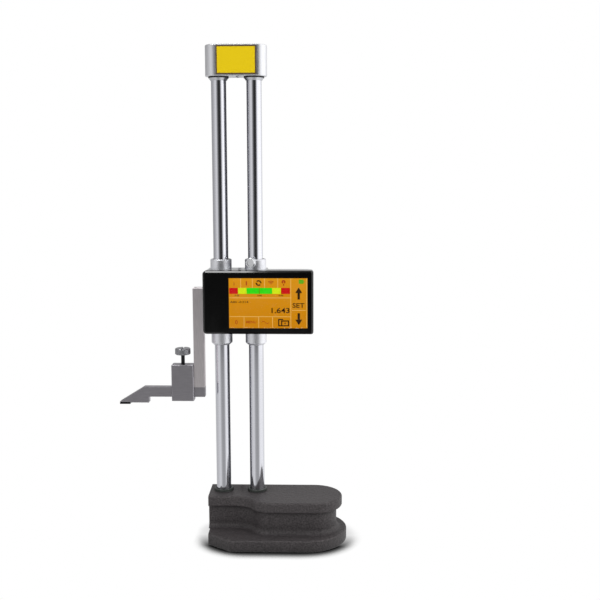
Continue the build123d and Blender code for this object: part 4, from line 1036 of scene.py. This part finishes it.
# %% Room
WALLS_BY_DEGREE = [(-180, 0.62), (-150, 0.45), (-118, 0.42), (-90, 0.50), (-68, 0.68), (-50, 0.86),
                   (-36, 0.82), (-22, 0.32), (-9, 0.08), (4, 0.03), (20, 0.025), (32, 0.16), (44, 1.0),
                   (60, 1.40), (104, 1.45), (130, 1.05), (160, 0.75), (180, 0.62)]
TABLE_LEVEL = 0.84
TABLE_SHARE = 0.5
TABLE_STARTS = -0.168
TABLE_IS_FULL = -0.195
room = bpy.data.worlds.new("room")
room.use_nodes = True
room.node_tree.nodes.clear()
heading = add_node(room, "ShaderNodeTexCoord").outputs["Generated"]
towards_front = calculate(room, "MULTIPLY", along(room, heading, "Y"), -1.0)
azimuth = calculate(room, "ARCTAN2", along(room, heading, "X"), towards_front)
walls = ramp(room, spread(room, azimuth, -pi, pi, 0.0, 1.0),
             [(degree / 360 + 0.5, (level,) * 3) for degree, level in WALLS_BY_DEGREE])
table = spread(room, along(room, heading, "Z"), TABLE_IS_FULL, TABLE_STARTS, TABLE_SHARE, 0.0)
around = blend(room, table, walls, (TABLE_LEVEL, TABLE_LEVEL, TABLE_LEVEL, 1))
seen_by_piece = add_node(room, "ShaderNodeBackground", Color=around)
seen_by_camera = add_node(room, "ShaderNodeBackground", Color=(1, 1, 1, 1))
ray = add_node(room, "ShaderNodeLightPath")
seen = choose(room, ray.outputs["Is Camera Ray"], seen_by_piece.outputs["Background"],
              seen_by_camera.outputs["Background"])
add_node(room, "ShaderNodeOutputWorld", Surface=seen)
bpy.context.scene.world = room
print("room levels:", [level for _, level in WALLS_BY_DEGREE])

# %% [markdown]
# ## Soft lamps
# Five rectangles of light, at a plain level, so that a colour renders about as it is written. One
# bright sun would be simpler, but it would draw hard shadows on the floor. The lamps at the right,
# at the left and in front light the dull pieces, and metal doesn't mirror them, because their
# outlines would show as boxes on the columns. The two strips overhead are mirrored: edges that
# look up catch them as a bright line.


# %% Soft lamps
def soft_lamp(name, place, aim, size, power, mirrored):
    """A rectangle of light. Metal shows it as a bright patch only if it is mirrored."""
    lamp = add_object(name, bpy.data.lights.new(name, "AREA"))
    lamp.data.shape = "RECTANGLE"
    lamp.data.size, lamp.data.size_y = size
    lamp.data.energy = power
    lamp.location = place
    lamp.rotation_euler = (Vector(aim) - Vector(place)).to_track_quat("-Z", "Y").to_euler()
    lamp.visible_glossy = mirrored


soft_lamp("lamp_right", (0.95, -0.75, 1.25), (0, 0, 0.2), (1.2, 1.2), 4, False)
soft_lamp("lamp_left", (-1.1, -0.6, 1.1), (0, 0, 0.25), (1.2, 1.2), 2.8, False)
soft_lamp("lamp_front", (0.1, -1.5, 0.75), (0, 0, 0.2), (1.0, 0.8), 13.5, False)
soft_lamp("lamp_over", (-0.12, -0.55, 1.4), (0, 0, 0.1), (0.9, 0.3), 1.3, True)
soft_lamp("lamp_above", (-0.42, -0.165, 1.6), (-0.42, -0.185, 0), (0.66, 0.14), 2.5, True)
print("lamps:", ", ".join(f"{light.name} {light.energy:.1f} W" for light in bpy.data.lights))
